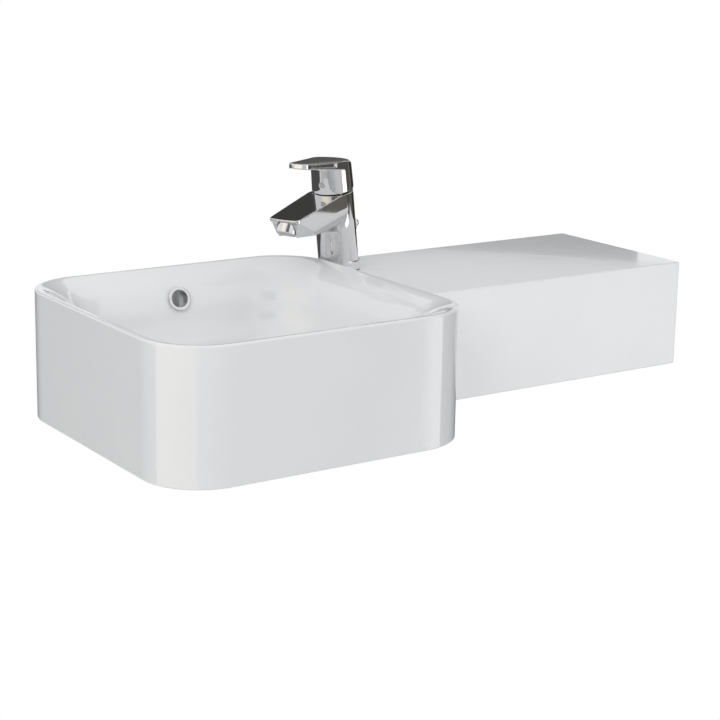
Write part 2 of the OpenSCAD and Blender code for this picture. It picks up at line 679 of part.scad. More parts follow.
module clamp_screw() color("silver") at_tap() translate([cross_r, 0, cross_z]) rotate([90, 0, 0]) {
    translate([0, 0, rod_r + fit]) cylinder(r = screw_r, h = screw_l);
    translate([0, 0, rod_r + clamp_wall + fit]) cylinder(r = screw_head.x, h = screw_head.y);
}

// Tap body: the spout is its side outline, its plan and a rounded underside, all cut together
function arc_pts(c, r, a0, a1, n) = [for (i = [0:n])
    let(a = a0 + (a1 - a0) * i / n) c + r * [cos(a), sin(a)]];
face_dir = [cos(aerator_tilt), sin(aerator_tilt)];
face_mid = [aerator_reach, column_h - aerator_face_drop];
face_front = face_mid + face_dir * aerator_d / 2;
face_spare = 5;           // flat behind the aerator's casing
face_back = face_mid - face_dir * (aerator_d / 2 + face_spare);
// The underside rises at a steady slope from the fillet at the column to the aerator's face
root = [column_r + 10, column_h - spout_root_h];
rise = atan2(face_back.y - root.y, face_back.x - root.x);
fillet_r = 12;
fillet_mid = [column_r + fillet_r,
    root.y - (root.x - column_r - fillet_r) * tan(rise) - fillet_r / cos(rise)];
lip_lean = 0.6;           // how far the front lip's lower edge stands forward
nose = [3, 4, 0.8];       // length and width of the nose's cut corners, and its bulge
round_share = 0.57;       // depth of the rounded underside's axis, as a share of its radius
module spout() intersection() {
    rotate([90, 0, 0]) translate([0, 0, -column_d]) linear_extrude(2 * column_d) polygon(concat(
        [[0, column_h], [spout_length, column_h], [spout_length + lip_lean, column_h - lip_t], face_front,
            face_back],
        arc_pts(fillet_mid, fillet_r, 90 + rise, 180, 8), [[0, fillet_mid.y]]));
    linear_extrude(2 * column_h) polygon([[0, -column_r], [spout_length - nose.x, -spout_end_w / 2],
        [spout_length, nose.y - spout_end_w / 2], [spout_length + nose.z, 0],
        [spout_length, spout_end_w / 2 - nose.y], [spout_length - nose.x, spout_end_w / 2],
        [0, column_r]]);
    translate([0, 0, column_h - spout_round * round_share]) rotate([0, 90, 0])
        cylinder(r = spout_round, h = 2 * spout_length);
}
// The waterway runs from the cartridge's chamber to the aerator's seat
way_in = [0, column_h - 24];
way_out = face_mid + [-4.5, 1];
module tap_body() color("silver") difference() {
    union() {
        leaning() translate([0, 0, -column_spare]) cylinder(r = column_r, h = column_h + column_spare);
        leaning() spout();
        at_tap() cylinder(d = foot_d, h = foot_h);
    }
    at_tap() translate([-big / 2, -big / 2, base_seal_t - big]) cube(big);
    at_tap() cylinder(r = foot_d / 2 - foot_wall, h = recess_h);
    leaning() translate([0, 0, chamber_floor]) cylinder(r = chamber_r, h = cartridge_h + eps);
    leaning() translate([0, 0, chamber_top]) cylinder(r = nut_r + slip, h = nut_h + 1);
    leaning() translate([way_in.x, 0, way_in.y])
        rotate([0, 90 - atan2(way_out.y - way_in.y, way_out.x - way_in.x), 0])
            cylinder(d = waterway_d, h = norm(way_out - way_in));
    for (sy = [-1, 1]) at_tap() translate([-inlet_back, sy * inlet_offset, 0]) {
        cylinder(d = inlet_d, h = recess_h + inlet_depth);
        cylinder(d = feed_d, h = chamber_floor + 2);
    }
    at_tap() translate([stud_offset, 0, 0]) cylinder(r = stud_d / 2 + slip, h = recess_h + stud_grip);
    on_lift_rod() cylinder(r = rod_r + slip, h = knob_s);
    at_aerator() translate([0, 0, -aerator_thread - thread_gap])
        cylinder(r = aerator_d / 2 - thread_step, h = 2 * aerator_show + aerator_thread);
}
module base_seal() color("dimgray") at_tap()
    ring(foot_d / 2 - 2 * seal_inset, tap_hole_d / 2 + 3 * seal_inset, base_seal_t);
module tap_stud() color("silver") at_tap() translate([stud_offset, 0, -skirt_wall - stud_length])
    cylinder(d = stud_d, h = stud_length + skirt_wall + recess_h + stud_grip - 1);
module horseshoe(h) difference() {
    cylinder(d = horseshoe_d, h = h);
    translate([-horseshoe_d, -horseshoe_gap.y / 2, -1])
        cube([horseshoe_d + horseshoe_gap.x, horseshoe_gap.y, h + 2]);
    translate([stud_offset, 0, -1]) cylinder(r = stud_d / 2 + seal_fit, h = h + 2);
}
module horseshoe_washer() color("dimgray") at_tap() translate([0, 0, -skirt_wall - horseshoe_t])
    horseshoe(horseshoe_t);
module horseshoe_plate() color("goldenrod") at_tap() translate([0, 0, -skirt_wall - 2 * horseshoe_t])
    horseshoe(horseshoe_t);
module stud_nut() color("goldenrod") at_tap()
    translate([stud_offset, 0, -skirt_wall - 2 * horseshoe_t - stud_d]) difference() {
        cylinder(d = (stud_d + 5) / cos(30), h = stud_d, $fn = 6);
        translate([0, 0, -1]) cylinder(r = stud_d / 2 + slip, h = stud_d + 2);
    }

// Cartridge, in the column's leaning frame
module cartridge_housing() color("gainsboro") leaning() difference() {
    translate([0, 0, chamber_floor + 1]) cylinder(r = cartridge_r, h = cartridge_h - 1);
    translate([0, 0, chamber_floor + cup_t]) cylinder(r = rotor_r + fit, h = cartridge_h);
    port_holes(chamber_floor, 2 * cup_t);
}
// The three holes through the housing's floor and through the fixed disc
module port_holes(z, h) {
    for (sy = [-1, 1]) translate([inlet_port.x, sy * inlet_port.y, z]) cylinder(r = inlet_port_r, h = h);
    translate([outlet_port, 0, z]) cylinder(r = outlet_port_r, h = h);
}
module port_seal(r) ring(r + port_seal_gap + port_seal_w, r + port_seal_gap, 1);
module cartridge_seals() color("dimgray") leaning() translate([0, 0, chamber_floor]) {
    for (sy = [-1, 1]) translate([inlet_port.x, sy * inlet_port.y, 0]) port_seal(inlet_port_r);
    translate([outlet_port, 0, 0]) port_seal(outlet_port_r);
}
module disc_fixed() color("white") leaning() translate([0, 0, chamber_floor + cup_t + eps]) difference() {
    cylinder(r = rotor_r, h = disc_t);
    port_holes(-1, disc_t + 2);
}
module disc_moving() color("white") leaning()
    translate([0, 0, chamber_floor + cup_t + disc_t + fit / 2]) difference() {
        cylinder(r = rotor_r - disc_inset, h = disc_t);
        translate([pocket.x, 0, -1]) cylinder(r = pocket.y, h = disc_t * 0.6 + 1);
    }
module cartridge_rotor() color("gainsboro") leaning() difference() {
    translate([0, 0, rotor_low]) cylinder(r = rotor_r - slip + fit, h = rotor_top - rotor_low);
    translate([-rotor_r + rotor_slot_wall, -stem_w / 2 - rotor_slot_fit, rotor_low + rotor_slot_floor])
        cube([2 * (rotor_r - rotor_slot_wall), stem_w + 2 * rotor_slot_fit, rotor_top]);
    translate([0, rotor_d, stem_pivot]) rotate([90, 0, 0])
        cylinder(d = stem_pin_d + 2 * eps, h = 2 * rotor_d);
}
module stem_pin() color("silver") leaning() translate([0, rotor_r - 0.5, stem_pivot]) rotate([90, 0, 0])
    cylinder(d = stem_pin_d, h = 2 * rotor_r - 1);
module cartridge_stem() color("goldenrod") leaning() difference() {
    translate([-stem_w / 2, -stem_w / 2, stem_pivot - stem_below])
        cube([stem_w, stem_w, stem_top - stem_pivot + stem_below]);
    translate([0, stem_w, stem_pivot]) rotate([90, 0, 0]) cylinder(r = stem_pin_d / 2 + slip, h = 2 * stem_w);
}
module cartridge_nut() color("goldenrod") leaning() translate([0, 0, chamber_top + eps])
    ring(nut_r, rotor_r + nut_gap, nut_h - dome_sink);
module dome_ring() color("silver") leaning() translate([0, 0, column_h - dome_sink + 2 * eps]) difference() {
    union() {
        cylinder(d = dome_d, h = 1);
        translate([0, 0, 1]) cylinder(r1 = dome_d / 2, r2 = dome_d / 2 - dome_slope, h = dome_h - 1);
    }
    translate([0, 0, -1]) cylinder(r = rotor_r + nut_gap, h = dome_h + 2);
}

// Handle: hood, lever arm with its slot, and the relief that lets the hood tip back
arm_half = lever_tip_w / 2;
module arm_outline() {
    circle(r = hood_top_d / 2);
    polygon([[0, -hood_top_d / 2], [lever_length - tip_round.x, -arm_half],
        [lever_length - tip_round.z, -arm_half + tip_round.y], [lever_length, 0],
        [lever_length - tip_round.z, arm_half - tip_round.y], [lever_length - tip_round.x, arm_half],
        [0, hood_top_d / 2]]);
}
slot_roof = 2.2;          // metal above the lever's slot
slot_tip_h = 1;           // height of the slot at its narrow end
slot_ends = [4, 6];       // distance of the slot's ends from the hood and from the lever's tip
slot = [[lever_length - slot_ends.y, -slot_roof], [lever_length - slot_ends.y, -slot_roof - slot_tip_h],
    [hood_r + slot_ends.x, slot_roof - lever_root_t], [hood_r + slot_ends.x, -slot_roof]];
hood_clear = 0.4;         // gap left under the hood's back when the handle is fully lifted
module lever_handle() color("silver") difference() {
    union() {
        intersection() {
            leaning() translate([0, 0, column_h])
                cylinder(r1 = hood_r, r2 = hood_top_d / 2, h = hood_h + hood_spare);
            on_arm() translate([-big / 2, -big / 2, -big]) cube(big);
        }
        on_arm() intersection() {
            translate([0, 0, -lever_root_t]) linear_extrude(lever_root_t) arm_outline();
            translate([0, column_d, 0]) rotate([90, 0, 0]) linear_extrude(2 * column_d)
                polygon([[0, 0], [lever_length + 1, 0], [lever_length + 1, -tip_edge.x],
                    [lever_length - tip_edge.y, -lever_tip_t], [hood_r, -lever_root_t],
                    [0, -lever_root_t]]);
        }
    }
    leaning() difference() {
        translate([0, 0, column_h - 2]) cylinder(r = hood_inner_r, h = hood_roof - column_h + 2);
        translate([0, 0, hood_boss_low]) cylinder(r = hood_boss_r, h = hood_h);
    }
    leaning() translate([0, 0, column_h + hood_gap]) rotate([0, gap_slope, 0])
        translate([-big / 2, -big / 2, -big]) cube(big);
    leaning() translate([0, 0, column_h]) rotate([0, lift_angle, 0])
        translate([-big, -big / 2, hood_clear - big]) cube(big);
    leaning() translate([-stem_w / 2 - fit, -stem_w / 2 - fit, column_h])
        cube([stem_w + 2 * fit, stem_w + 2 * fit, stem_top - column_h + fit]);
    leaning() translate([0, 0, column_h + button_h]) rotate([0, 90, 0])
        cylinder(r = hood_screw_r + slip, h = hood_inner_r);
    leaning() translate([hood_inner_r - button_seat, 0, column_h + button_h]) rotate([0, 90, 0])
        cylinder(d = button_d + 2 * slip, h = hood_wall + 2 * button_seat);
    on_arm() translate([0, hood_d, 0]) rotate([90, 0, 0]) linear_extrude(2 * hood_d) polygon(slot);
}
module handle_screw() color("dimgray") leaning() translate([stem_w / 2 + fit, 0, column_h + button_h])
    rotate([0, 90, 0]) cylinder(r = hood_screw_r, h = hood_screw_l);
module button() color("lightgray") leaning() translate([hood_inner_r - 1, 0, column_h + button_h])
    rotate([0, 90, 0]) cylinder(d = button_d, h = hood_wall + 1 - button_proud);

// Aerator, along its own axis from the spout's lower face
casing_bevel = 0.9;
casing_wall = 2;
thread_lead = 0.7;        // how far the casing's thread stays back from the seal's seat
insert_lip = 1.5;         // ledge in the casing that holds the insert
jet_r = 1.1;              // holes of the insert, on two circles
jet_step = 3.6;
module aerator_casing() color("silver") at_aerator() difference() {
    union() {
        translate([0, 0, fit / 2]) cylinder(d = aerator_d, h = aerator_show - casing_bevel - fit / 2);
        translate([0, 0, aerator_show - casing_bevel])
            cylinder(r1 = aerator_d / 2, r2 = aerator_d / 2 - casing_bevel, h = casing_bevel);
        translate([0, 0, thread_lead - aerator_thread])
            cylinder(r = aerator_d / 2 - thread_step - slip, h = aerator_thread);
    }
    translate([0, 0, casing_wall]) cylinder(r = aerator_d / 2 - casing_wall, h = aerator_show);
    translate([0, 0, -aerator_thread])
        cylinder(r = aerator_d / 2 - casing_wall - insert_lip, h = aerator_thread + casing_wall + 1);
}
module aerator_insert() color("gainsboro") at_aerator() translate([0, 0, casing_wall + fit]) difference() {
    cylinder(r = aerator_d / 2 - casing_wall - fit, h = aerator_show - casing_wall - 1);
    for (k = [1:2], i = [0:6 * k - 1]) rotate([0, 0, i * 60 / k]) translate([jet_step * k, 0, -1])
        cylinder(r = jet_r, h = aerator_show);
    translate([0, 0, -1]) cylinder(r = jet_r, h = aerator_show);
}
module aerator_seal() color("dimgray") at_aerator() translate([0, 0, thread_lead - aerator_thread - 1 - fit])
    ring(aerator_d / 2 - thread_step - seal_fit, aerator_d / 2 - casing_wall - insert_lip, 1);

basin();
overflow_ring();
wall_bushes();
waste_flange();
flange_seal();
lower_washer();
slip_washer();
backnut();
waste_tee();
tee_seal();
tailpiece();
tail_seal();
plug_cap();
plug_seal();
plug_stem();
ball_lever();
ball_seat();
ball_gasket();
ball_nut();
lift_rod();
lift_knob();
rod_clamp();
clamp_screw();
tap_body();
base_seal();
tap_stud();
horseshoe_washer();
horseshoe_plate();
stud_nut();
cartridge_housing();
cartridge_seals();
disc_fixed();
disc_moving();
cartridge_rotor();
stem_pin();
cartridge_stem();
cartridge_nut();
dome_ring();
lever_handle();
handle_screw();
button();
aerator_casing();
aerator_insert();
aerator_seal();
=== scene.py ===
import json
import math

import bmesh
import bpy
import numpy as np
from mathutils import Matrix, Vector


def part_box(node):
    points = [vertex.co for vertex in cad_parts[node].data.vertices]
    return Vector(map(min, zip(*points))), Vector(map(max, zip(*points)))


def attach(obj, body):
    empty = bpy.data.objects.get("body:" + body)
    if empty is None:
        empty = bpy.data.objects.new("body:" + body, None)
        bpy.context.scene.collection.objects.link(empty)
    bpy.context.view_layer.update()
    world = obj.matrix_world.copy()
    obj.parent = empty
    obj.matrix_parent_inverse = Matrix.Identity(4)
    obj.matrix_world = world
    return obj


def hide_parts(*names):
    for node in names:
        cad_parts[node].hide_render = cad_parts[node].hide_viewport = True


# Wall-hung basin with a side shelf, a leaning single-lever tap and a pop-up waste.
# Shapes are worked out in millimetres in the part's own frame and scaled when a mesh is made.
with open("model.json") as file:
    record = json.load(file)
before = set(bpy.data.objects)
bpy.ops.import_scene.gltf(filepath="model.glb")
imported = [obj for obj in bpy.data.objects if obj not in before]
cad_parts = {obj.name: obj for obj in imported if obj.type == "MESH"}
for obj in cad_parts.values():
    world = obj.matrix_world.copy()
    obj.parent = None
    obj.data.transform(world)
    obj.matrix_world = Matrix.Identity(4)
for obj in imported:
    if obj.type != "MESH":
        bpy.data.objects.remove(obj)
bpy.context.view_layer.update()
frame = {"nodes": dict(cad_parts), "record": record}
MM = 0.001


def corners(node):
    """Lowest and highest corner of a CAD node, in millimetres."""
    low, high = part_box(node)
    return low / MM, high / MM


def middle(node):
    low, high = corners(node)
    return (low + high) / 2


# Places read from the frame
basin_low, basin_high = corners("basin")
X_LEFT, X_RIGHT = basin_low.x, basin_high.x
Y_FRONT = basin_low.y
Z_LOW, Z_RIM = basin_low.z, basin_high.z
DECK = corners("base_seal")[0].z
WASTE = middle("backnut")
TAP = middle("base_seal")
SEAT_Z = corners("flange_seal")[0].z
BOSS_Z = corners("lower_washer")[1].z
BUSH_FLANGE_R = (corners("wall_bushes")[1].z - corners("wall_bushes")[0].z) / 2
BOLT_X = corners("wall_bushes")[1].x - BUSH_FLANGE_R

# Basin sizes
BOWL_W = 375
CORNER_R = 67
SHELF_DEPTH = 226
SKIRT = 12
SHELL = 10
LAND = 5
BOWL_DROP = 106
STEEP = (40, 52)
FLOOR_EDGE = (108, 103)
RIM_SOLID = 30
RIM_R = 2.6
FOOT_R = 2.0
SHELF_R = 1.7
JOINT_R = 2.5
RECESS_R = 32.5
WASTE_HOLE_R = 23
TAP_HOLE_R = 17.5
BUSH_R = 9.7
OVERFLOW_DROP = 33
OVERFLOW_TILT = math.radians(20)
OVERFLOW_R = 11.25
DUCT_R = 7
DUCT_HALF_W = 15
DUCT_Y = -SKIRT - DUCT_R - 3
DUCT_LOW = BOSS_Z + DUCT_R + 2
FLOOR_Z = Z_RIM - BOWL_DROP
BOWL_RIGHT = X_LEFT + BOWL_W
BOWL_MID = Vector(((X_LEFT + BOWL_RIGHT) / 2, Y_FRONT / 2, 0))
BOWL_HALF = (BOWL_W / 2, -Y_FRONT / 2)
BOSS_R = WASTE_HOLE_R + SHELL + 4
OVERFLOW_Z = Z_RIM - OVERFLOW_DROP
OVERFLOW_CUT = (-14, 8)
DUCT_TOP = OVERFLOW_Z + 12
DUCT_BORE_TOP = OVERFLOW_Z + 4
RECESS_LIP = 1
FALL_BEND = 1.4

# How far a cut runs past the face that it opens, and how near a point counts as on a face
PAST = 1
TINY = 1e-6
OUTLINE_SLACK = 0.06
BACK_STRIP = 3

# Steps of the levels and curves, and the degrees of the waste's circle that half a straight side takes
CORNER_STEPS = 24
SIDE_STEPS = 6
SIDE_SHARE = 18
UPPER_STEPS = 18
LOWER_STEPS = 22
FLOOR_STEPS = 6
EDGE_STEPS = 5


# Mesh making
def new_object(name, points, faces, matrix=None):
    """A mesh object from points in millimetres, moved by the matrix, if there is one."""
    mesh = bpy.data.meshes.new(name)
    mesh.from_pydata([Vector(p) * MM for p in points], [], faces)
    if matrix is not None:
        mesh.transform(matrix)
    mesh.validate()
    mesh.shade_smooth()
    piece = bpy.data.objects.new(name, mesh)
    bpy.context.scene.collection.objects.link(piece)
    return piece


def tidy_normals(piece):
    """Turns all faces outwards."""
    bm = bmesh.new()
    bm.from_mesh(piece.data)
    bmesh.ops.recalc_face_normals(bm, faces=bm.faces)
    bm.to_mesh(piece.data)
    bm.free()


def settle(piece):
    """Applies the modifiers of a piece to its mesh."""
    graph = bpy.context.evaluated_depsgraph_get()
    made = bpy.data.meshes.new_from_object(piece.evaluated_get(graph), depsgraph=graph)
    piece.modifiers.clear()
    piece.data = made


def combine(piece, tool, operation):
    step = piece.modifiers.new("combine", "BOOLEAN")
    step.operation = operation
    step.solver = "EXACT"
    step.object = tool
    settle(piece)
    bpy.data.objects.remove(tool)


def edged(piece, angle=35):
    """Smooth shading with true flats: edges over the angle stay sharp, and big faces lead."""
    piece.data.shade_smooth()
    piece.data.set_sharp_from_angle(angle=math.radians(angle))
    weighted = piece.modifiers.new("flats", "WEIGHTED_NORMAL")
    weighted.keep_sharp = True
    weighted.weight = 80


def loft(loops, around=False):
    """Faces between loops of equal length. The ends are capped, or joined if around is true."""
    n = len(loops[0])
    points = [p for loop in loops for p in loop]
    rows = len(loops)
    faces = []
    for k in range(rows if around else rows - 1):
        a, b = k * n, (k + 1) % rows * n
        faces += [(a + i, a + (i + 1) % n, b + (i + 1) % n, b + i) for i in range(n)]
    if not around:
        faces += [tuple(range(n))[::-1], tuple(range((rows - 1) * n, rows * n))]
    return points, faces


def box_solid(low, high):
    (x0, y0, z0), (x1, y1, z1) = low, high
    points = [(x, y, z) for z in (z0, z1) for x, y in ((x0, y0), (x1, y0), (x1, y1), (x0, y1))]
    return new_object("block", *loft([points[:4], points[4:]]))


def circle(radius, z, steps):
    return [(radius * math.cos(2 * math.pi * i / steps), radius * math.sin(2 * math.pi * i / steps), z)
            for i in range(steps)]


def cylinder_solid(radius, low, high, matrix, steps=64):
    return new_object("drill", *loft([circle(radius, z, steps) for z in (low, high)]), matrix)


def placed(point, *turns):
    """A matrix in metres: moves to a point given in millimetres, after the turns (angle, axis)."""
    made = Matrix.Translation(Vector(point) * MM)
    for angle, axis in turns:
        made = made @ Matrix.Rotation(angle, 4, axis)
    return made


def on_circle(centre, radius, angle):
    """The point of a circle at an angle in degrees."""
    return (centre[0] + radius * math.cos(math.radians(angle)),
            centre[1] + radius * math.sin(math.radians(angle)))


def arc(centre, radius, start, end, steps):
    """Points of an arc from one angle to another, in degrees."""
    return [on_circle(centre, radius, start + (end - start) * i / steps) for i in range(steps + 1)]


def rounded(points, radii):
    """A closed outline with each corner rounded by its own radius."""
    longest = 0.48
    made = []
    for i, radius in enumerate(radii):
        here = Vector(points[i])
        before, after = Vector(points[i - 1]) - here, Vector(points[(i + 1) % len(points)]) - here
        turn = before.angle(after)
        reach = min(radius / math.tan(turn / 2), before.length * longest, after.length * longest)
        start, end = here + before.normalized() * reach, here + after.normalized() * reach
        for k in range(EDGE_STEPS + 1):
            t = k / EDGE_STEPS
            made.append(tuple(start.lerp(here, t).lerp(here.lerp(end, t), t)))
    return made


def lathe(name, outline, matrix, steps=96):
    """A solid turned from a closed outline of (radius, height)."""
    piece = new_object(name, *loft([circle(r, z, steps) for r, z in outline], around=True), matrix)
    tidy_normals(piece)
    edged(piece)
    return piece


# Bowl
def bezier(p, t):
    """The point at t of a cubic curve with four control points."""
    a, b, c, d = (1 - t) ** 3, 3 * (1 - t) ** 2 * t, 3 * (1 - t) * t * t, t ** 3
    return tuple(a * p[0][k] + b * p[1][k] + c * p[2][k] + d * p[3][k] for k in range(2))


def bezier_way(p, t):
    """The way that the curve runs at t, as a unit vector."""
    a, b, c = (1 - t) ** 2, 2 * (1 - t) * t, t * t
    way = [a * (p[1][k] - p[0][k]) + b * (p[2][k] - p[1][k]) + c * (p[3][k] - p[2][k]) for k in range(2)]
    return Vector(way).normalized()


def curve_steps(p, steps, first=0):
    """The curve's points from the first on, each with the way it runs there."""
    return [(bezier(p, i / steps), bezier_way(p, i / steps)) for i in range(first, steps + 1)]


# The bowl's side in two curves, as (inset from the outer wall, depth below the rim)
UPPER = [(LAND, 0), (LAND + 17, 6), (STEEP[0] - 4, STEEP[1] - 32), STEEP]
LOWER = [STEEP, (STEEP[0] + 4, STEEP[1] + 30), (FLOOR_EDGE[0] - 50, FLOOR_EDGE[1] - 2), FLOOR_EDGE]
SIDE = curve_steps(UPPER, UPPER_STEPS) + curve_steps(LOWER, LOWER_STEPS, 1)
INNER_CORNER_R = CORNER_R - LAND


def bowl_loop(inset, z, corner):
    """One level of the bowl: a rounded rectangle, the given distance inside the outer wall."""
    half_x, half_y = BOWL_HALF[0] - inset, BOWL_HALF[1] - inset
    corner = min(corner, half_x, half_y)
    turns = []
    for q, (sx, sy) in enumerate(((1, 1), (-1, 1), (-1, -1), (1, -1))):
        mid = (BOWL_MID.x + sx * (half_x - corner), BOWL_MID.y + sy * (half_y - corner))
        turns.append(arc(mid, corner, 90 * q, 90 * q + 90, CORNER_STEPS))
    points = []
    for q, turn in enumerate(turns):
        last, end = turn[-1], turns[(q + 1) % 4][0]
        points += [(x, y, z) for x, y in turn]
        points += [(last[0] + (end[0] - last[0]) * j / SIDE_STEPS,
                    last[1] + (end[1] - last[1]) * j / SIDE_STEPS, z) for j in range(1, SIDE_STEPS)]
    return points


def waste_loop(radius, z):
    """A circle round the waste with the same number of points as a level of the bowl."""
    bend = 90 - 2 * SIDE_SHARE
    angles = []
    for q in range(4):
        start = 90 * q + SIDE_SHARE
        angles += [start + bend * i / CORNER_STEPS for i in range(CORNER_STEPS + 1)]
        angles += [start + bend + 2 * SIDE_SHARE * j / SIDE_STEPS for j in range(1, SIDE_STEPS)]
    return [(*on_circle(WASTE, radius, angle), z) for angle in angles]


def between(first, second, t, z):
    """A level between two others, t of the way across."""
    return [(a[0] + (b[0] - a[0]) * t, a[1] + (b[1] - a[1]) * t, z) for a, b in zip(first, second)]


def bowl_levels():
    """The bowl as one ring of levels: up the outside, over the rim, down the inside to the waste hole."""
    levels = [bowl_loop(FOOT_R - x, Z_LOW + FOOT_R + y, CORNER_R - FOOT_R + x)
              for x, y in arc((0, 0), FOOT_R, -90, 0, EDGE_STEPS)]
    levels += [bowl_loop(RIM_R - x, Z_RIM - RIM_R + y, CORNER_R - RIM_R + x)
               for x, y in arc((0, 0), RIM_R, 0, 90, 8)]
    levels += [bowl_loop(p[0], Z_RIM - p[1], INNER_CORNER_R) for p, way in SIDE]
    edge, mouth = levels[-1], waste_loop(RECESS_R + RECESS_LIP, FLOOR_Z)
    fall = Z_RIM - FLOOR_EDGE[1] - FLOOR_Z
    for k in range(1, FLOOR_STEPS):
        t = k / FLOOR_STEPS
        levels.append(between(edge, mouth, t, FLOOR_Z + fall * (1 - t) ** FALL_BEND))
    soft = 0.3 * RECESS_LIP
    levels += [mouth, waste_loop(RECESS_R + soft, FLOOR_Z - soft)]
    levels += [waste_loop(RECESS_R, z) for z in (FLOOR_Z - RECESS_LIP, SEAT_Z)]
    levels += [waste_loop(WASTE_HOLE_R, z) for z in (SEAT_Z, Z_LOW)]
    return levels


def shelf_block():
    """The shelf with its free edges rounded, cut off at the bowl's outer wall."""
    left = BOWL_RIGHT - CORNER_R
    shelf = box_solid((left, -SHELF_DEPTH, Z_LOW), (X_RIGHT, 0, DECK))
    bm = bmesh.new()
    bm.from_mesh(shelf.data)
    bmesh.ops.recalc_face_normals(bm, faces=bm.faces)
    free = [e for e in bm.edges if max(v.co.x for v in e.verts) > left * MM + TINY
            and not all(abs(v.co.y) < TINY for v in e.verts)]
    bmesh.ops.bevel(bm, geom=free, offset=SHELF_R * MM, segments=EDGE_STEPS, profile=0.5, affect="EDGES")
    bm.to_mesh(shelf.data)
    bm.free()
    core_levels = [bowl_loop(RIM_R, z, CORNER_R - RIM_R) for z in (Z_LOW - PAST, DECK + PAST)]
    core = new_object("core", *loft(core_levels))
    tidy_normals(core)
    combine(shelf, core, "DIFFERENCE")
    return shelf


def underside_hollow():
    """The hollow underneath, less the bowl's shell, the waste boss and the overflow duct."""
    roof = Z_RIM - RIM_SOLID
    hollow_levels = [bowl_loop(SKIRT, z, CORNER_R - SKIRT) for z in (Z_LOW - PAST, roof)]
    hollow = new_object("hollow", *loft(hollow_levels))
    tidy_normals(hollow)
    # The shelf's part starts lower, so that no two of their faces lie in one plane
    combine(hollow, box_solid((BOWL_RIGHT - CORNER_R, SKIRT - SHELF_DEPTH, Z_LOW - 1.2 * PAST),
                              (X_RIGHT - SKIRT, -SKIRT, DECK - SKIRT)), "UNION")

    # The shell's outside starts above the hollow's roof, and goes straight up from there
    start, top = 14, 20
    outer = [(p[0] - SHELL * way[1], p[1] + SHELL * way[0]) for p, way in SIDE]
    outer = [p for p in outer if p[1] > RIM_SOLID - start]
    shell_levels = [bowl_loop(outer[0][0], roof + top, INNER_CORNER_R)]
    shell_levels += [bowl_loop(p[0], Z_RIM - p[1], INNER_CORNER_R) for p in outer]
    shell_levels.append(waste_loop(RECESS_R, FLOOR_Z - SHELL - 2))
    shell = new_object("shell", *loft(shell_levels))
    tidy_normals(shell)
    combine(hollow, shell, "DIFFERENCE")
    boss = cylinder_solid(BOSS_R, BOSS_Z, FLOOR_Z, placed((WASTE.x, WASTE.y, 0)), 96)
    combine(hollow, boss, "DIFFERENCE")
    duct = box_solid((WASTE.x - DUCT_HALF_W, WASTE.y, BOSS_Z),
                     (WASTE.x + DUCT_HALF_W, PAST - SKIRT, DUCT_TOP))
    combine(hollow, duct, "DIFFERENCE")
    return hollow


def basin_drills():
    """Solids of the holes for the tap, the wall bolts, the overflow's duct and the overflow."""
    level = (math.pi / 2, "X")
    return [cylinder_solid(TAP_HOLE_R, DECK - SKIRT - PAST, DECK + PAST, placed((TAP.x, TAP.y, 0))),
            cylinder_solid(BUSH_R, -PAST, SKIRT + 2 * PAST, placed((-BOLT_X, 0, 0), level)),
            cylinder_solid(BUSH_R, -PAST, SKIRT + 2 * PAST, placed((BOLT_X, 0, 0), level)),
            cylinder_solid(DUCT_R, DUCT_LOW - DUCT_R, DUCT_BORE_TOP, placed((WASTE.x, DUCT_Y, 0))),
            cylinder_solid(DUCT_R, 0, DUCT_Y - WASTE.y - WASTE_HOLE_R / 2,
                           placed((WASTE.x, DUCT_Y, DUCT_LOW), level)),
            cylinder_solid(OVERFLOW_R, *OVERFLOW_CUT, OVERFLOW_FRAME)]


def fill_joint(basin):
    """Glaze fillet where the shelf meets the bowl."""
    inward = -0.5
    bm = bmesh.new()
    bm.from_mesh(basin.data)
    joint = [e for e in bm.edges if e.calc_face_angle_signed(0) < inward
             and all(on_outline(v.co / MM) and v.co.z / MM > Z_LOW + FOOT_R - 0.1 for v in e.verts)]
    bmesh.ops.bevel(bm, geom=joint, offset=JOINT_R * MM, segments=EDGE_STEPS, profile=0.5, affect="EDGES")
    bm.to_mesh(basin.data)
    bm.free()


def basin_piece():
    basin = new_object("basin_glaze", *loft(bowl_levels(), around=True))
    tidy_normals(basin)
    combine(basin, shelf_block(), "UNION")
    combine(basin, underside_hollow(), "DIFFERENCE")
    for tool in basin_drills():
        tidy_normals(tool)
        combine(basin, tool, "DIFFERENCE")
    fill_joint(basin)
    edged(basin, 38)
    return basin


def on_outline(point):
    """True for a point on the bowl's outer wall, away from the back face."""
    dx = abs(point.x - BOWL_MID.x) - (BOWL_HALF[0] - CORNER_R)
    dy = abs(point.y - BOWL_MID.y) - (BOWL_HALF[1] - CORNER_R)
    reach = math.hypot(max(dx, 0), max(dy, 0)) if max(dx, dy) > 0 else max(dx, dy)
    return abs(reach - CORNER_R) < OUTLINE_SLACK and point.y < -BACK_STRIP


def overflow_inset():
    """Inset of the bowl's back at the height of the overflow."""
    low, high = 0.0, 1.0
    for halving in range(30):
        mid = (low + high) / 2
        low, high = (mid, high) if bezier(UPPER, mid)[1] < OVERFLOW_DROP else (low, mid)
    return bezier(UPPER, low)[0]


OVERFLOW_FRAME = placed((BOWL_MID.x, -overflow_inset(), OVERFLOW_Z), (math.pi / 2 - OVERFLOW_TILT, "X"))


# Fields for cast shapes: distance-like functions, below zero inside, rounded where they meet
def round_max(a, b, r):
    """What two fields share, with a rounded edge."""
    return np.minimum(-r, np.maximum(a, b)) + np.hypot(np.maximum(r + a, 0), np.maximum(r + b, 0))


def round_min(a, b, r):
    """Two fields joined, with a fillet."""
    return -round_max(-a, -b, r)


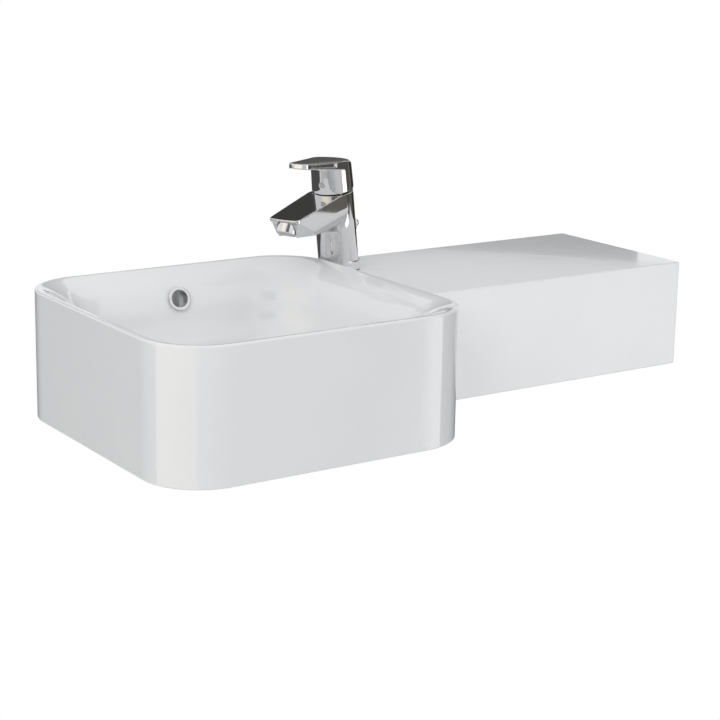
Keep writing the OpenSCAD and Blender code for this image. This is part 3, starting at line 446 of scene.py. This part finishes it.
def ramp(x, start, end):
    """Rises smoothly from 0 at start to 1 at end."""
    t = np.clip((x - start) / (end - start), 0, 1)
    return t * t * (3 - 2 * t)


def gradient(field, points):
    """Steepest way up the field at each point, not scaled to unit length."""
    h = 0.02
    found = np.zeros_like(points)
    for k in range(3):
        step = np.zeros(3)
        step[k] = h
        found[:, k] = (field(*(points + step).T) - field(*(points - step).T)) / (2 * h)
    return found


# How often a field's points are evened out, how often each time they are pulled back, and on what slopes
EVEN_ROUNDS = 6
PULLS = 4
LEAST_SLOPE = 0.05


def field_piece(name, field, low, high, step, matrix):
    """The field's zero surface as an even mesh of quads, with the field's own normals."""
    axes = [np.arange(low[k], high[k] + step, step) for k in range(3)]
    values = field(*np.meshgrid(*axes, indexing="ij"))
    inside = values < 0
    nx, ny, nz = (count - 1 for count in inside.shape)
    held = sum(inside[i:i + nx, j:j + ny, k:k + nz].astype(int)
               for i in (0, 1) for j in (0, 1) for k in (0, 1))

    # One point in each cell that the surface passes, and one quad round each edge that it crosses
    cells = np.argwhere((held > 0) & (held < 8))
    number = -np.ones(held.shape, int)
    number[tuple(cells.T)] = np.arange(len(cells))
    quads = []
    for k in range(3):
        a, b = (k + 1) % 3, (k + 2) % 3
        first = np.take(inside, np.arange(inside.shape[k] - 1), axis=k)
        second = np.take(inside, np.arange(1, inside.shape[k]), axis=k)
        hits = np.argwhere(first != second)
        hits = hits[(hits[:, a] > 0) & (hits[:, b] > 0)
                    & (hits[:, a] < inside.shape[a] - 1) & (hits[:, b] < inside.shape[b] - 1)]
        ring = []
        for da, db in ((1, 1), (0, 1), (0, 0), (1, 0)):
            cell = hits.copy()
            cell[:, a] -= da
            cell[:, b] -= db
            ring.append(number[tuple(cell.T)])
        ring = np.stack(ring, 1)
        outward = first[tuple(hits.T)]
        quads.append(np.where(outward[:, None], ring, ring[:, ::-1]))
    quads = np.concatenate(quads)
    points = np.array(low) + (cells + 0.5) * step

    # The points are evened out and pulled back onto the surface, a few times over
    edges = np.concatenate([quads[:, [i, (i + 1) % 4]] for i in range(4)])
    for turn in range(EVEN_ROUNDS):
        if turn:
            total, count = np.zeros_like(points), np.zeros(len(points))
            for i, j in ((0, 1), (1, 0)):
                np.add.at(total, edges[:, i], points[edges[:, j]])
                np.add.at(count, edges[:, i], 1)
            points = 0.5 * points + 0.5 * total / count[:, None]
        for pull in range(PULLS):
            way = gradient(field, points)
            size = np.maximum((way * way).sum(1), LEAST_SLOPE)
            points -= np.clip(field(*points.T) / size, -step, step)[:, None] * way
    way = gradient(field, points)
    way /= np.maximum(np.linalg.norm(way, axis=1), 1e-9)[:, None]
    piece = new_object(name, points.tolist(), quads.tolist(), matrix)
    turned = way @ np.array(matrix.to_3x3()).T
    piece.data.normals_split_custom_set_from_vertices(turned.tolist())
    return piece


# Tap frames: the leaning frame starts on the deck, with u towards the spout and w up the column
TO_WASTE = Vector((WASTE.x - TAP.x, WASTE.y - TAP.y, 0))
TURN = math.atan2(TO_WASTE.y, TO_WASTE.x)
LEAN = math.radians(10)
AT_TAP = placed((TAP.x, TAP.y, DECK), (TURN, "Z"))
LEANING = AT_TAP @ Matrix.Rotation(LEAN, 4, "Y")

# Tap sizes
COLUMN_R = 24.3
COLUMN_H = 99.5
TAP_FOOT_R = 25.6
TAP_FOOT_H = 12
SEAL_T = 1.2
SPOUT_LENGTH = 115
NOSE_HALF = 20
NOSE_BOW = 110
KEEL_R = 27
KEEL_W = COLUMN_H - 15.4
TOP_CREST = 1.5
CREST_START = 2
CREST_AT = 23

# The aerator's casing and the nose round it: the nose's lower face is tilted, and higher than the solid's
AERATOR_R = 12.2
AERATOR_TILT = math.radians(34)
AERATOR_SHOW = 8
FACE_MID = (105, COLUMN_H - 12.4)
CASING_SUNK = 3
CASING_SEAT = 6.5
SEAT_TILT = math.radians(40)
COLLAR_R = 19.5
COLLAR_TAPER = 0.55
SOCKET_R = AERATOR_R - 1.1
SOCKET_H = 3.2
SLEEVE_R = AERATOR_R + 0.3

# The spout's underside runs from its root at the column to the lower end of the casing's back
ROOT = (COLUMN_R + 10, COLUMN_H - 38)
CASING_DROP = AERATOR_SHOW - 1
CASING_FOOT = (FACE_MID[0] - AERATOR_R * math.cos(AERATOR_TILT) + CASING_DROP * math.sin(AERATOR_TILT),
               FACE_MID[1] - AERATOR_R * math.sin(AERATOR_TILT) - CASING_DROP * math.cos(AERATOR_TILT))
RISE = math.atan2(CASING_FOOT[1] - ROOT[1], CASING_FOOT[0] - ROOT[0])

# The tap's bores
CHAMBER_R = 17.6
CHAMBER_DEPTH = 37.5
TOP_BORE_R = 20.56
TOP_BORE_DEPTH = 7.5
FOOT_BORE_R = 19
FOOT_BORE_H = 6
ROD_BORE_R = 2.75
ROD_FOOT = 14.5
ROD_LEAN = math.radians(24)

# The tap's roundings and fillets. A span says where one starts to grow, and where it is full.
LEAST_R = 0.3
BORE_EDGE_R = 0.25
SEAL_EDGE_R = 0.4
FOOT_EDGE_R = 1.2
FOOT_FILLET_R = 0.6
TOP_EDGE_R = 0.9
NOSE_EDGE_R = 1.2
SEAT_EDGE_R = 2.0
SPOUT_EDGE_R = 5.0
KEEL_EDGE_R = 7.0
UNDER_EDGE_R = 7
UNDER_SPAN = (85, 45)
FILLET_R = 12
FILLET_SPAN = (24, 15)

# Shares that turn the field of a tapered flank into a distance
FLANK_SHARE = 0.999
ARM_SHARE = 0.987


def from_nose(u, w):
    """How far a point lies forward along the nose's lower face, and how far out of that face."""
    ahead_u, ahead_w = u - FACE_MID[0], w - FACE_MID[1]
    along_face = ahead_u * math.cos(AERATOR_TILT) + ahead_w * math.sin(AERATOR_TILT)
    out = ahead_u * math.sin(AERATOR_TILT) - ahead_w * math.cos(AERATOR_TILT) + CASING_SUNK
    return along_face, out


def from_deck(u, w):
    """How far a point of the leaning frame lies forward of the tap's middle, and above the deck."""
    return u * math.cos(LEAN) + w * math.sin(LEAN), w * math.cos(LEAN) - u * math.sin(LEAN)


def spout_field(u, v, w):
    """The spout without its flat top: flanks, nose, keel, underside, and the seat of the casing."""
    along_face, out = from_nose(u, w)
    flank = (np.abs(v) - (COLUMN_R - (COLUMN_R - NOSE_HALF) * u / SPOUT_LENGTH)) * FLANK_SHARE
    nose = np.hypot(u - (SPOUT_LENGTH - NOSE_BOW), v) - NOSE_BOW
    keel = np.hypot(v, np.minimum(w - KEEL_W, 0)) - KEEL_R
    under = (u - ROOT[0]) * math.sin(RISE) - (w - ROOT[1]) * math.cos(RISE)
    spout = round_max(flank, nose, SPOUT_EDGE_R)
    spout = round_max(spout, keel, KEEL_EDGE_R)
    spout = round_max(spout, under, NOSE_EDGE_R + UNDER_EDGE_R * ramp(u, *UNDER_SPAN))
    seat = along_face * math.cos(SEAT_TILT) + out * math.sin(SEAT_TILT) - CASING_SEAT
    collar = np.hypot(np.maximum(along_face, 0), v) - COLLAR_R + COLLAR_TAPER * out
    seat = round_max(seat, collar, SEAT_EDGE_R)
    spout = round_max(spout, round_min(out, seat, SEAT_EDGE_R), NOSE_EDGE_R)
    return np.maximum(spout, -u)


def body_bores(u, v, w):
    """The cartridge's chamber, the recess over the tap hole, the casing's socket and the rod's bore."""
    ring = np.hypot(u, v)
    along_face, out = from_nose(u, w)
    across, up = from_deck(u, w)
    chamber = np.maximum(ring - CHAMBER_R, COLUMN_H - CHAMBER_DEPTH - w)
    chamber = np.minimum(chamber, np.maximum(ring - TOP_BORE_R, COLUMN_H - TOP_BORE_DEPTH - w))
    recess = np.maximum(np.hypot(across, v) - FOOT_BORE_R, up - FOOT_BORE_H)
    casing_ring = np.hypot(along_face, v)
    socket = np.maximum(casing_ring - SOCKET_R, -out - SOCKET_H)
    socket = np.minimum(socket, np.maximum(casing_ring - SLEEVE_R, -out))
    behind = (across + ROD_FOOT) * math.cos(ROD_LEAN) + up * math.sin(ROD_LEAN)
    rod_bore = np.hypot(behind, v) - ROD_BORE_R
    return np.minimum(np.minimum(chamber, recess), np.minimum(socket, rod_bore))


def body_field(u, v, w):
    """The tap's body: its column with foot and spout, under a flat top with a low crest."""
    across, up = from_deck(u, w)
    column = np.hypot(u, v) - COLUMN_R
    body = round_min(column, spout_field(u, v, w), LEAST_R + FILLET_R * ramp(np.abs(v), *FILLET_SPAN))
    foot = round_max(np.hypot(across, v) - TAP_FOOT_R, up - TAP_FOOT_H, FOOT_EDGE_R)
    body = round_min(body, foot, FOOT_FILLET_R)
    crest_end = (SPOUT_LENGTH - u) / (SPOUT_LENGTH - CREST_AT)
    crest = TOP_CREST * np.minimum(ramp(u, CREST_START, CREST_AT), crest_end)
    body = round_max(body, w - COLUMN_H - crest, TOP_EDGE_R)
    body = round_max(body, SEAL_T - up, SEAL_EDGE_R)
    return round_max(body, -body_bores(u, v, w), BORE_EDGE_R)


# Handle sizes, in a frame that leans with the column and starts on its top
HOOD_R = 25.2
HOOD_TOP_R = 24.1
HOOD_H = 39
HOOD_GAP = 3.2
HOOD_GAP_TILT = math.radians(2.5)
HOOD_WALL = 3
HOOD_CLEAR = 0.4
LIFT = math.radians(20)
ARM_RISE = math.radians(12)
LEVER_LENGTH = 79.5
TIP_HALF = 12
TIP_BOW = 20
TIP_T = 5.5
ROOT_T = 9.4
HOOD_ROOF = ROOT_T + 0.6
STEM_BOSS_R = 8.5
STEM_BOSS_FOOT = 9.5
BUTTON_H = 13.5
BUTTON_R = 3.4
BUTTON_BOTTOM = 19

# The lever's top is nearly flat, and stands a little higher than the solid's
CROWN_BOW = 2000
TOP_RAISE = 0.6

# The slot along each side of the lever: a pocket that narrows towards the tip
SLOT_START = 20.5
SLOT_END = 66
SLOT_ROOF = 1.9
SLOT_HOOD_H = 4.4
SLOT_TIP_H = 2.0
SLOT_DEPTH = 2.4

# The handle's roundings and fillets, with their spans
TIP_EDGE_R = 4.0
ARM_EDGE_R = 1.5
CROWN_EDGE_R = 1.0
HOLLOW_EDGE_R = 0.7
HOOD_EDGE_R = 0.5
ARM_FILLET_R = 2.2
ARM_SPAN = (22, 10)
REAR_EDGE_R = 6.5
REAR_SPAN = (-2, -20)


def along_lever(u, w):
    """How far a point lies along the lever's top from the hood's middle, and above it."""
    return (u * math.cos(ARM_RISE) + (w - HOOD_H) * math.sin(ARM_RISE),
            (w - HOOD_H) * math.cos(ARM_RISE) - u * math.sin(ARM_RISE))


def arm_flank(v, along):
    """The lever's tapered sides."""
    half = HOOD_TOP_R - (HOOD_TOP_R - TIP_HALF) * along / (LEVER_LENGTH - TIP_EDGE_R)
    return (np.abs(v) - half) * ARM_SHARE


def handle_hollows(u, v, w):
    """The hood's inside round the stem's boss, the two slots and the button's hole."""
    along, up = along_lever(u, w)
    slot_h = SLOT_TIP_H + (SLOT_HOOD_H - SLOT_TIP_H) * (SLOT_END - along) / (SLOT_END - SLOT_START)
    slot = np.maximum(up + SLOT_ROOF, -up - SLOT_ROOF - slot_h)
    slot = np.maximum(slot, np.maximum(along - SLOT_END, SLOT_START - along))
    slot = np.maximum(slot, -arm_flank(v, along) - SLOT_DEPTH)
    ring = np.hypot(u, v)
    inner = np.maximum(ring - HOOD_R + HOOD_WALL, w - (HOOD_H - HOOD_ROOF))
    inner = np.maximum(inner, -np.maximum(ring - STEM_BOSS_R, STEM_BOSS_FOOT - w))
    drilled = np.maximum(np.hypot(v, w - BUTTON_H) - BUTTON_R, BUTTON_BOTTOM - u)
    return np.minimum(np.minimum(inner, slot), drilled)


def handle_field(u, v, w):
    """The hood and its lever, with the relief at the back that lets it tilt."""
    along, up = along_lever(u, w)
    hood = np.hypot(u, v) - (HOOD_R - (HOOD_R - HOOD_TOP_R) * w / HOOD_H)
    tip = along - LEVER_LENGTH + v * v / (2 * TIP_BOW)
    thick = ROOT_T - (ROOT_T - TIP_T) * (along - HOOD_R) / (LEVER_LENGTH - HOOD_R)
    arm = round_max(arm_flank(v, along), tip, TIP_EDGE_R)
    arm = round_max(arm, -up - thick, ARM_EDGE_R)
    arm = np.maximum(arm, -along)
    crown = up + v * v / (2 * CROWN_BOW) - TOP_RAISE
    handle = round_min(hood, arm, LEAST_R + ARM_FILLET_R * ramp(np.abs(v), *ARM_SPAN))
    handle = round_max(handle, crown, CROWN_EDGE_R + REAR_EDGE_R * ramp(along, *REAR_SPAN))
    handle = round_max(handle, -handle_hollows(u, v, w), HOLLOW_EDGE_R)
    lower = HOOD_GAP - math.tan(HOOD_GAP_TILT) * u - w
    relief = np.minimum(w * math.sin(LIFT) - u * math.cos(LIFT),
                        HOOD_CLEAR - w * math.cos(LIFT) - u * math.sin(LIFT))
    return round_max(handle, np.maximum(lower, relief), HOOD_EDGE_R)


# Materials: each is built from nodes, with even values set on the shader itself
GLAZE, GLAZE_DARK, GLAZE_LIGHT = (0.86, 0.865, 0.872), (0.848, 0.853, 0.862), (0.872, 0.875, 0.88)
BRASS, BRASS_DARK, BRASS_LIGHT = (0.60, 0.43, 0.19), (0.52, 0.36, 0.15), (0.66, 0.49, 0.23)
PLASTIC, PLASTIC_DARK, PLASTIC_LIGHT = (0.60, 0.60, 0.585), (0.57, 0.57, 0.555), (0.63, 0.63, 0.615)
CHROME = (0.69, 0.69, 0.70)
CHROME_ROUGH = 0.05
STEEL = (0.50, 0.50, 0.51)
RUBBER = (0.022, 0.022, 0.023)
DISC = (0.74, 0.73, 0.70)


def material(name, colour, roughness, metallic=0.0, **more):
    """A material with even values. More names further inputs, with _ for each space."""
    made = bpy.data.materials.new(name)
    made.use_nodes = True
    shader = made.node_tree.nodes["Principled BSDF"]
    shader.inputs["Base Color"].default_value = (*colour, 1)
    shader.inputs["Roughness"].default_value = roughness
    shader.inputs["Metallic"].default_value = metallic
    for key, value in more.items():
        shader.inputs[key.replace("_", " ")].default_value = value
    return made


def noise_on(made, scale, detail=4.0, stretch=(1, 1, 1)):
    """A noise texture in the object's own metres."""
    tree = made.node_tree
    where = tree.nodes.new("ShaderNodeTexCoord")
    shape = tree.nodes.new("ShaderNodeMapping")
    shape.inputs["Scale"].default_value = stretch
    noise = tree.nodes.new("ShaderNodeTexNoise")
    noise.inputs["Scale"].default_value = scale
    noise.inputs["Detail"].default_value = detail
    tree.links.new(where.outputs["Object"], shape.inputs["Vector"])
    tree.links.new(shape.outputs["Vector"], noise.inputs["Vector"])
    return noise


def vary_colour(made, noise, dark, light):
    """A base colour that drifts between two tones."""
    tree = made.node_tree
    colours = tree.nodes.new("ShaderNodeValToRGB")
    first, last = colours.color_ramp.elements
    first.position, last.position = 0.35, 0.65
    first.color, last.color = (*dark, 1), (*light, 1)
    tree.links.new(noise.outputs["Fac"], colours.inputs["Fac"])
    tree.links.new(colours.outputs["Color"], tree.nodes["Principled BSDF"].inputs["Base Color"])


def vary_roughness(made, noise, low, high):
    tree = made.node_tree
    spread = tree.nodes.new("ShaderNodeMapRange")
    spread.inputs["To Min"].default_value = low
    spread.inputs["To Max"].default_value = high
    tree.links.new(noise.outputs["Fac"], spread.inputs["Value"])
    tree.links.new(spread.outputs["Result"], tree.nodes["Principled BSDF"].inputs["Roughness"])


def roughen(made, noise, strength, depth):
    """A bump of a depth in metres."""
    tree = made.node_tree
    bump = tree.nodes.new("ShaderNodeBump")
    bump.inputs["Strength"].default_value = strength
    bump.inputs["Distance"].default_value = depth
    tree.links.new(noise.outputs["Fac"], bump.inputs["Height"])
    tree.links.new(bump.outputs["Normal"], tree.nodes["Principled BSDF"].inputs["Normal"])


def glaze_material():
    made = material("glaze", GLAZE, 0.09, IOR=1.52, Coat_Weight=0.35, Coat_Roughness=0.03)
    vary_colour(made, noise_on(made, 9.0, 3.0), GLAZE_DARK, GLAZE_LIGHT)
    vary_roughness(made, noise_on(made, 30.0), 0.06, 0.12)
    roughen(made, noise_on(made, 45.0, 2.0), 0.12, 0.0006)
    return made


def chrome_material():
    made = material("chrome_plate", CHROME, CHROME_ROUGH, 1.0)
    vary_roughness(made, noise_on(made, 220.0), CHROME_ROUGH * 0.7, CHROME_ROUGH * 1.5)
    roughen(made, noise_on(made, 60.0, 2.0), 0.05, 0.0002)
    return made


def brass_material():
    made = material("turned_brass", BRASS, 0.25, 1.0)
    vary_colour(made, noise_on(made, 180.0), BRASS_DARK, BRASS_LIGHT)
    roughen(made, noise_on(made, 900.0, 2.0, (1, 1, 6)), 0.25, 0.0001)
    return made


def steel_material():
    made = material("drawn_steel", STEEL, 0.28, 1.0)
    vary_roughness(made, noise_on(made, 700.0, 3.0, (1, 1, 0.1)), 0.2, 0.36)
    return made


def rubber_material():
    made = material("black_rubber", RUBBER, 0.7)
    roughen(made, noise_on(made, 1500.0), 0.35, 0.0001)
    return made


def plastic_material():
    made = material("moulded_plastic", PLASTIC, 0.42)
    vary_colour(made, noise_on(made, 120.0), PLASTIC_DARK, PLASTIC_LIGHT)
    roughen(made, noise_on(made, 1800.0), 0.2, 0.00005)
    return made


def disc_material():
    made = material("lapped_disc", DISC, 0.2)
    vary_roughness(made, noise_on(made, 400.0), 0.14, 0.28)
    return made


finish = {"glazed_ceramic": glaze_material(), "chrome": chrome_material(), "steel": steel_material(),
          "brass": brass_material(), "rubber": rubber_material(), "plastic": plastic_material(),
          "disc_ceramic": disc_material()}
slot_of = {row["node"]: row["material_slot"] for row in frame["record"]["subparts"]}
body_of_node = {n: body for body, names in frame["record"]["behaviour"]["bodies"].items() for n in names}
for name, node in frame["nodes"].items():
    node.data.materials.clear()
    node.data.materials.append(finish[slot_of[name]])


def stands_for(piece, node, *others):
    """Finishes a piece: it takes the material of the node's slot and the node's body, and hides the node.
    """
    piece.data.materials.clear()
    piece.data.materials.append(finish[slot_of[node]])
    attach(piece, body_of_node[node])
    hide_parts(node, *others)


# Pieces
BODY_STEP = 0.62
HANDLE_STEP = 0.4
BODY_SPACE = ((-27, -27.5, -6), (118, 27.5, 103))
HANDLE_SPACE = ((-27, -27, 1), (83, 27, 60))
AT_WASTE = placed((WASTE.x, WASTE.y, 0))
HANDLE_FRAME = LEANING @ Matrix.Translation((0, 0, COLUMN_H * MM))
ROD_FRAME = AT_TAP @ Matrix.Translation((-ROD_FOOT * MM, 0, 0)) @ Matrix.Rotation(-ROD_LEAN, 4, "Y")
AERATOR_FRAME = (LEANING @ Matrix.Translation((FACE_MID[0] * MM, 0, FACE_MID[1] * MM))
                 @ Matrix.Rotation(math.pi - AERATOR_TILT, 4, "Y"))

# Stands for the axis in the outline of a solid without a bore
AXIS_R = 0.01


def overflow_trim():
    """A ring on the bowl's side, with a sleeve in the overflow hole."""
    bore, edge, sleeve = OVERFLOW_R - 1.2, OVERFLOW_R + 2.75, OVERFLOW_R - 0.3
    depth, seat, front = -8, 1.2, 3.2
    outline = [(bore, depth), (bore, front), (edge, front - 0.2), (edge, seat),
               (sleeve, seat), (sleeve, depth)]
    return lathe("overflow_trim", rounded(outline, [0.4, 1.1, 0.9, 0.3, 0.1, 0.4]), OVERFLOW_FRAME)


def waste_trim():
    """The waste's flange and shank, with four overflow windows."""
    bore, mouth, shank, edge = 16.5, 19.5, 20.9, 31.5
    end, top = corners("waste_flange")[0].z, corners("waste_flange")[1].z
    outline = [(bore, end), (bore, top - 2.6), (mouth, top), (edge, top - 0.5), (edge, top - 2),
               (shank, top - 2), (shank, end)]
    flange = lathe("waste_trim", rounded(outline, [0.3, 1.5, 2.0, 0.9, 0.3, 0.1, 0.6]), AT_WASTE)
    half_w, low, high = 5, BOSS_Z + 5, BOSS_Z + 12
    for quarter in range(4):
        window = box_solid((0, -half_w, low), (2 * shank, half_w, high))
        window.data.transform(placed((WASTE.x, WASTE.y, 0), (quarter * math.pi / 2, "Z")))
        combine(flange, window, "DIFFERENCE")
    edged(flange)
    return flange


def plug_top():
    """The plug's cap: a low crown, a rounded rim and a socket for the stem."""
    radius, rim, foot, socket, socket_h = 20, 0.9, 18.6, 3.1, 1.2
    low, high = corners("plug_cap")[0].z, corners("plug_cap")[1].z
    outline = [(AXIS_R, high)] + [(r, high - rim * (r / radius) ** 2.2) for r in (3, 6, 9, 12, 15, 17.5)]
    outline += arc((radius - rim, high - 2 * rim), rim, 80, -60, 6)
    outline += [(foot, low), (socket, low), (socket, low + socket_h), (AXIS_R, low + socket_h)]
    return lathe("plug_top", outline, AT_WASTE)


def pull_knob():
    """A ball with a neck, on the end of the lift rod."""
    ball, neck, neck_h, rod, height = 4.8, 3.5, 8, 2.51, 51
    middle_at = height / math.cos(ROD_LEAN)
    outline = [(rod, middle_at - neck_h), (neck, middle_at - neck_h)]
    outline += arc((0, middle_at), ball, -50, 88, 14)
    outline += [(AXIS_R, middle_at + ball), (AXIS_R, middle_at), (rod, middle_at)]
    return lathe("pull_knob", outline, ROD_FRAME, 64)


def aerator_trim():
    """The aerator's casing: its barrel reaches up to the nose's higher face, and its neck is screwed in."""
    bore, thread, outlet = 8.7, 11.04, 10.2
    end, ledge, seat = -3.8, 2, 0.05 - CASING_SUNK
    outline = [(bore, end), (bore, ledge), (outlet, ledge), (outlet, AERATOR_SHOW),
               (AERATOR_R, AERATOR_SHOW), (AERATOR_R, seat), (thread, seat), (thread, end)]
    return lathe("aerator_trim", rounded(outline, [0.2, 0.1, 0.1, 0.5, 0.8, 0.4, 0.1, 0.3]), AERATOR_FRAME)


stands_for(basin_piece(), "basin")
tap_casting = field_piece("tap_casting", body_field, *BODY_SPACE, BODY_STEP, LEANING)
stands_for(tap_casting, "tap_body")
lever_casting = field_piece("lever_casting", handle_field, *HANDLE_SPACE, HANDLE_STEP, HANDLE_FRAME)
stands_for(lever_casting, "lever_handle")
stands_for(overflow_trim(), "overflow_ring")
stands_for(waste_trim(), "waste_flange")
stands_for(plug_top(), "plug_cap")
stands_for(pull_knob(), "lift_knob")
stands_for(aerator_trim(), "aerator_casing")


# Camera at the photograph's viewpoint, found by fitting it to the edges of the basin
CAMERA_AT = Vector((-1188.4, -1844.1, 530.9)) * MM
YAW, PITCH, ROLL = 0.5978, 0.2280, 0.0182
PHOTO_PIXELS = 720
FOCAL_PIXELS = 1800.8
SENSOR = 36
right = Vector((math.cos(YAW), -math.sin(YAW), 0))
ahead = Vector((math.sin(YAW) * math.cos(PITCH), math.cos(YAW) * math.cos(PITCH), -math.sin(PITCH)))
above = right.cross(ahead)
x_axis = right * math.cos(ROLL) + above * math.sin(ROLL)
y_axis = above * math.cos(ROLL) - right * math.sin(ROLL)
camera = bpy.data.objects.new("camera", bpy.data.cameras.new("camera"))
camera.data.sensor_width = SENSOR
camera.data.lens = SENSOR * FOCAL_PIXELS / PHOTO_PIXELS
camera.data.shift_y = -0.06
camera.data.clip_end = 100
camera.matrix_world = Matrix.Translation(CAMERA_AT) @ Matrix((x_axis, y_axis, -ahead)).transposed().to_4x4()
bpy.context.scene.collection.objects.link(camera)
bpy.context.scene.camera = camera


# Floor and studio, in metres: the floor looks partly white under the object, and quite white further off
FLOOR_LEVEL = -0.86
FLOOR_HALF = 14
FLOOR_WHITE = 0.55
FLOOR_FADE = (0.15, 0.8)
CARD_FOOT = FLOOR_LEVEL + 0.01
CARD_RADIUS = 1.9
CARD_TURN = 4
WHITE = (1, 1, 1)


def plain_shader(tree, tone):
    glow = tree.nodes.new("ShaderNodeEmission")
    glow.inputs["Color"].default_value = (*tone, 1)
    glow.inputs["Strength"].default_value = 1.0
    return glow.outputs[0]


def white_when_seen(tree, lit, white, output, share=None):
    """The lit shader for light, and the white one for what is seen straight, mirrored or through glass.

    The share, where given, is the white one's part in what is seen.
    """
    path = tree.nodes.new("ShaderNodeLightPath")
    factor = path.outputs["Is Camera Ray"]
    for kind in ("Is Glossy Ray", "Is Transmission Ray"):
        largest = tree.nodes.new("ShaderNodeMath")
        largest.operation = "MAXIMUM"
        tree.links.new(factor, largest.inputs[0])
        tree.links.new(path.outputs[kind], largest.inputs[1])
        factor = largest.outputs[0]
    if share is not None:
        part = tree.nodes.new("ShaderNodeMath")
        part.operation = "MULTIPLY"
        tree.links.new(factor, part.inputs[0])
        tree.links.new(share, part.inputs[1])
        factor = part.outputs[0]
    mix = tree.nodes.new("ShaderNodeMixShader")
    tree.links.new(factor, mix.inputs["Fac"])
    tree.links.new(lit, mix.inputs[1])
    tree.links.new(white, mix.inputs[2])
    tree.links.new(mix.outputs[0], output.inputs["Surface"])


def studio_floor():
    """A wide pale floor that shows the object's soft shadow below it."""
    half = FLOOR_HALF / MM
    square = ((-half, -half, 0), (half, -half, 0), (half, half, 0), (-half, half, 0))
    floor = new_object("floor", square, [(0, 1, 2, 3)])
    floor.location = (0, Y_FRONT / 2 * MM, FLOOR_LEVEL)
    made = material("pale_floor", (0.86, 0.86, 0.86), 0.9)
    tree = made.node_tree
    where = tree.nodes.new("ShaderNodeTexCoord")
    away = tree.nodes.new("ShaderNodeVectorMath")
    away.operation = "LENGTH"
    fade = tree.nodes.new("ShaderNodeMapRange")
    fade.interpolation_type = "SMOOTHSTEP"
    fade.inputs["From Min"].default_value = FLOOR_FADE[0]
    fade.inputs["From Max"].default_value = FLOOR_FADE[1]
    fade.inputs["To Min"].default_value = FLOOR_WHITE
    tree.links.new(where.outputs["Object"], away.inputs[0])
    tree.links.new(away.outputs["Value"], fade.inputs["Value"])
    white_when_seen(tree, tree.nodes["Principled BSDF"].outputs[0], plain_shader(tree, WHITE),
                    tree.nodes["Material Output"], fade.outputs["Result"])
    floor.data.materials.append(made)


def studio_world(level):
    """An even world for light, and plain white where a ray looks past the object."""
    world = bpy.data.worlds.new("studio")
    bpy.context.scene.world = world
    world.use_nodes = True
    tree = world.node_tree
    ambient = tree.nodes["Background"]
    ambient.inputs["Color"].default_value = (0.97, 0.985, 1.0, 1)
    ambient.inputs["Strength"].default_value = level
    white = tree.nodes.new("ShaderNodeBackground")
    white.inputs["Color"].default_value = (*WHITE, 1)
    white.inputs["Strength"].default_value = 1.0
    white_when_seen(tree, ambient.outputs[0], white.outputs[0], tree.nodes["World Output"])


def heading(azimuth, elevation=0.0):
    """A direction of length one. Azimuth 0 looks towards -Y, and 90 towards +X."""
    a, e = math.radians(azimuth), math.radians(elevation)
    return Vector((math.sin(a) * math.cos(e), -math.cos(a) * math.cos(e), math.sin(e)))


def lamp(name, azimuth, elevation, distance, size, power, colour=WHITE):
    """A soft rectangular lamp that mirrors don't show, in degrees, metres and watts."""
    data = bpy.data.lights.new(name, "AREA")
    data.shape = "RECTANGLE"
    data.size, data.size_y = size
    data.energy = power
    data.color = colour
    way = heading(azimuth, elevation)
    box = bpy.data.objects.new(name, data)
    box.location = way * distance
    box.rotation_mode = "QUATERNION"
    box.rotation_quaternion = (-way).to_track_quat("-Z", "Y")
    box.visible_glossy = False
    bpy.context.scene.collection.objects.link(box)


def grey(level):
    return level, level, level


def card(name, start, end, low, high, tone):
    """A curved board round the tap that only mirrors show.

    It runs from one azimuth and height in metres to another, and glows evenly with its tone.
    """
    steps = max(2, round((end - start) / CARD_TURN))
    points = []
    for k in range(steps + 1):
        way = heading(start + (end - start) * k / steps) * CARD_RADIUS
        points += [(TAP.x + way.x / MM, TAP.y + way.y / MM, z / MM) for z in (low, high)]
    faces = [(2 * k, 2 * k + 2, 2 * k + 3, 2 * k + 1) for k in range(steps)]
    board = new_object(name, points, faces)
    made = bpy.data.materials.new(name)
    made.use_nodes = True
    tree = made.node_tree
    tree.links.new(plain_shader(tree, tone), tree.nodes["Material Output"].inputs["Surface"])
    board.data.materials.append(made)
    for kind in ("camera", "diffuse", "transmission", "volume_scatter", "shadow"):
        setattr(board, "visible_" + kind, False)


studio_floor()
studio_world(0.575)
lamp("key", -58, 30, 3.4, (1.8, 1.6), 31, (1.0, 0.985, 0.96))
lamp("fill", 55, 20, 3.4, (1.6, 1.6), 12, (0.95, 0.98, 1.0))
lamp("top", 10, 70, 2.6, (1.8, 1.4), 5)

# What the chrome mirrors: boards from the floor up, then boards above the basin
card("white_right", 28.5, 52, CARD_FOOT, 0.30, grey(2.2))
card("olive_near", 52, 74, CARD_FOOT, 0.10, (0.10, 0.094, 0.082))
card("olive_mid", 74, 92, CARD_FOOT, 0.10, (0.15, 0.14, 0.125))
card("olive_far", 92, 126, CARD_FOOT, 0.10, (0.045, 0.042, 0.034))
card("dark_right", 126, 160, CARD_FOOT, 0.43, grey(0.09))
card("dark_back", 160, 262, CARD_FOOT, 0.05, grey(0.09))
card("warm_left", 262, 322, CARD_FOOT, 0.20, (1.4, 1.26, 1.04))
card("grey_front", 322, 388.5, CARD_FOOT, 0.20, grey(0.72))
card("dark_high", 130, 172, 0.72, 1.75, (0.06, 0.06, 0.058))
card("shelf_grey", 124, 154, 0.43, 0.62, (0.66, 0.66, 0.67))
card("high_dark", 172, 206, 0.60, 1.60, grey(0.12))
card("high_warm", 262, 300, 0.50, 1.75, (1.35, 1.22, 1.0))
card("high_front", 314, 350, 0.60, 1.30, grey(0.20))
card("high_olive", 44, 124, 0.62, 1.75, (0.13, 0.125, 0.10))

scene = bpy.context.scene
scene.view_settings.view_transform = "Standard"
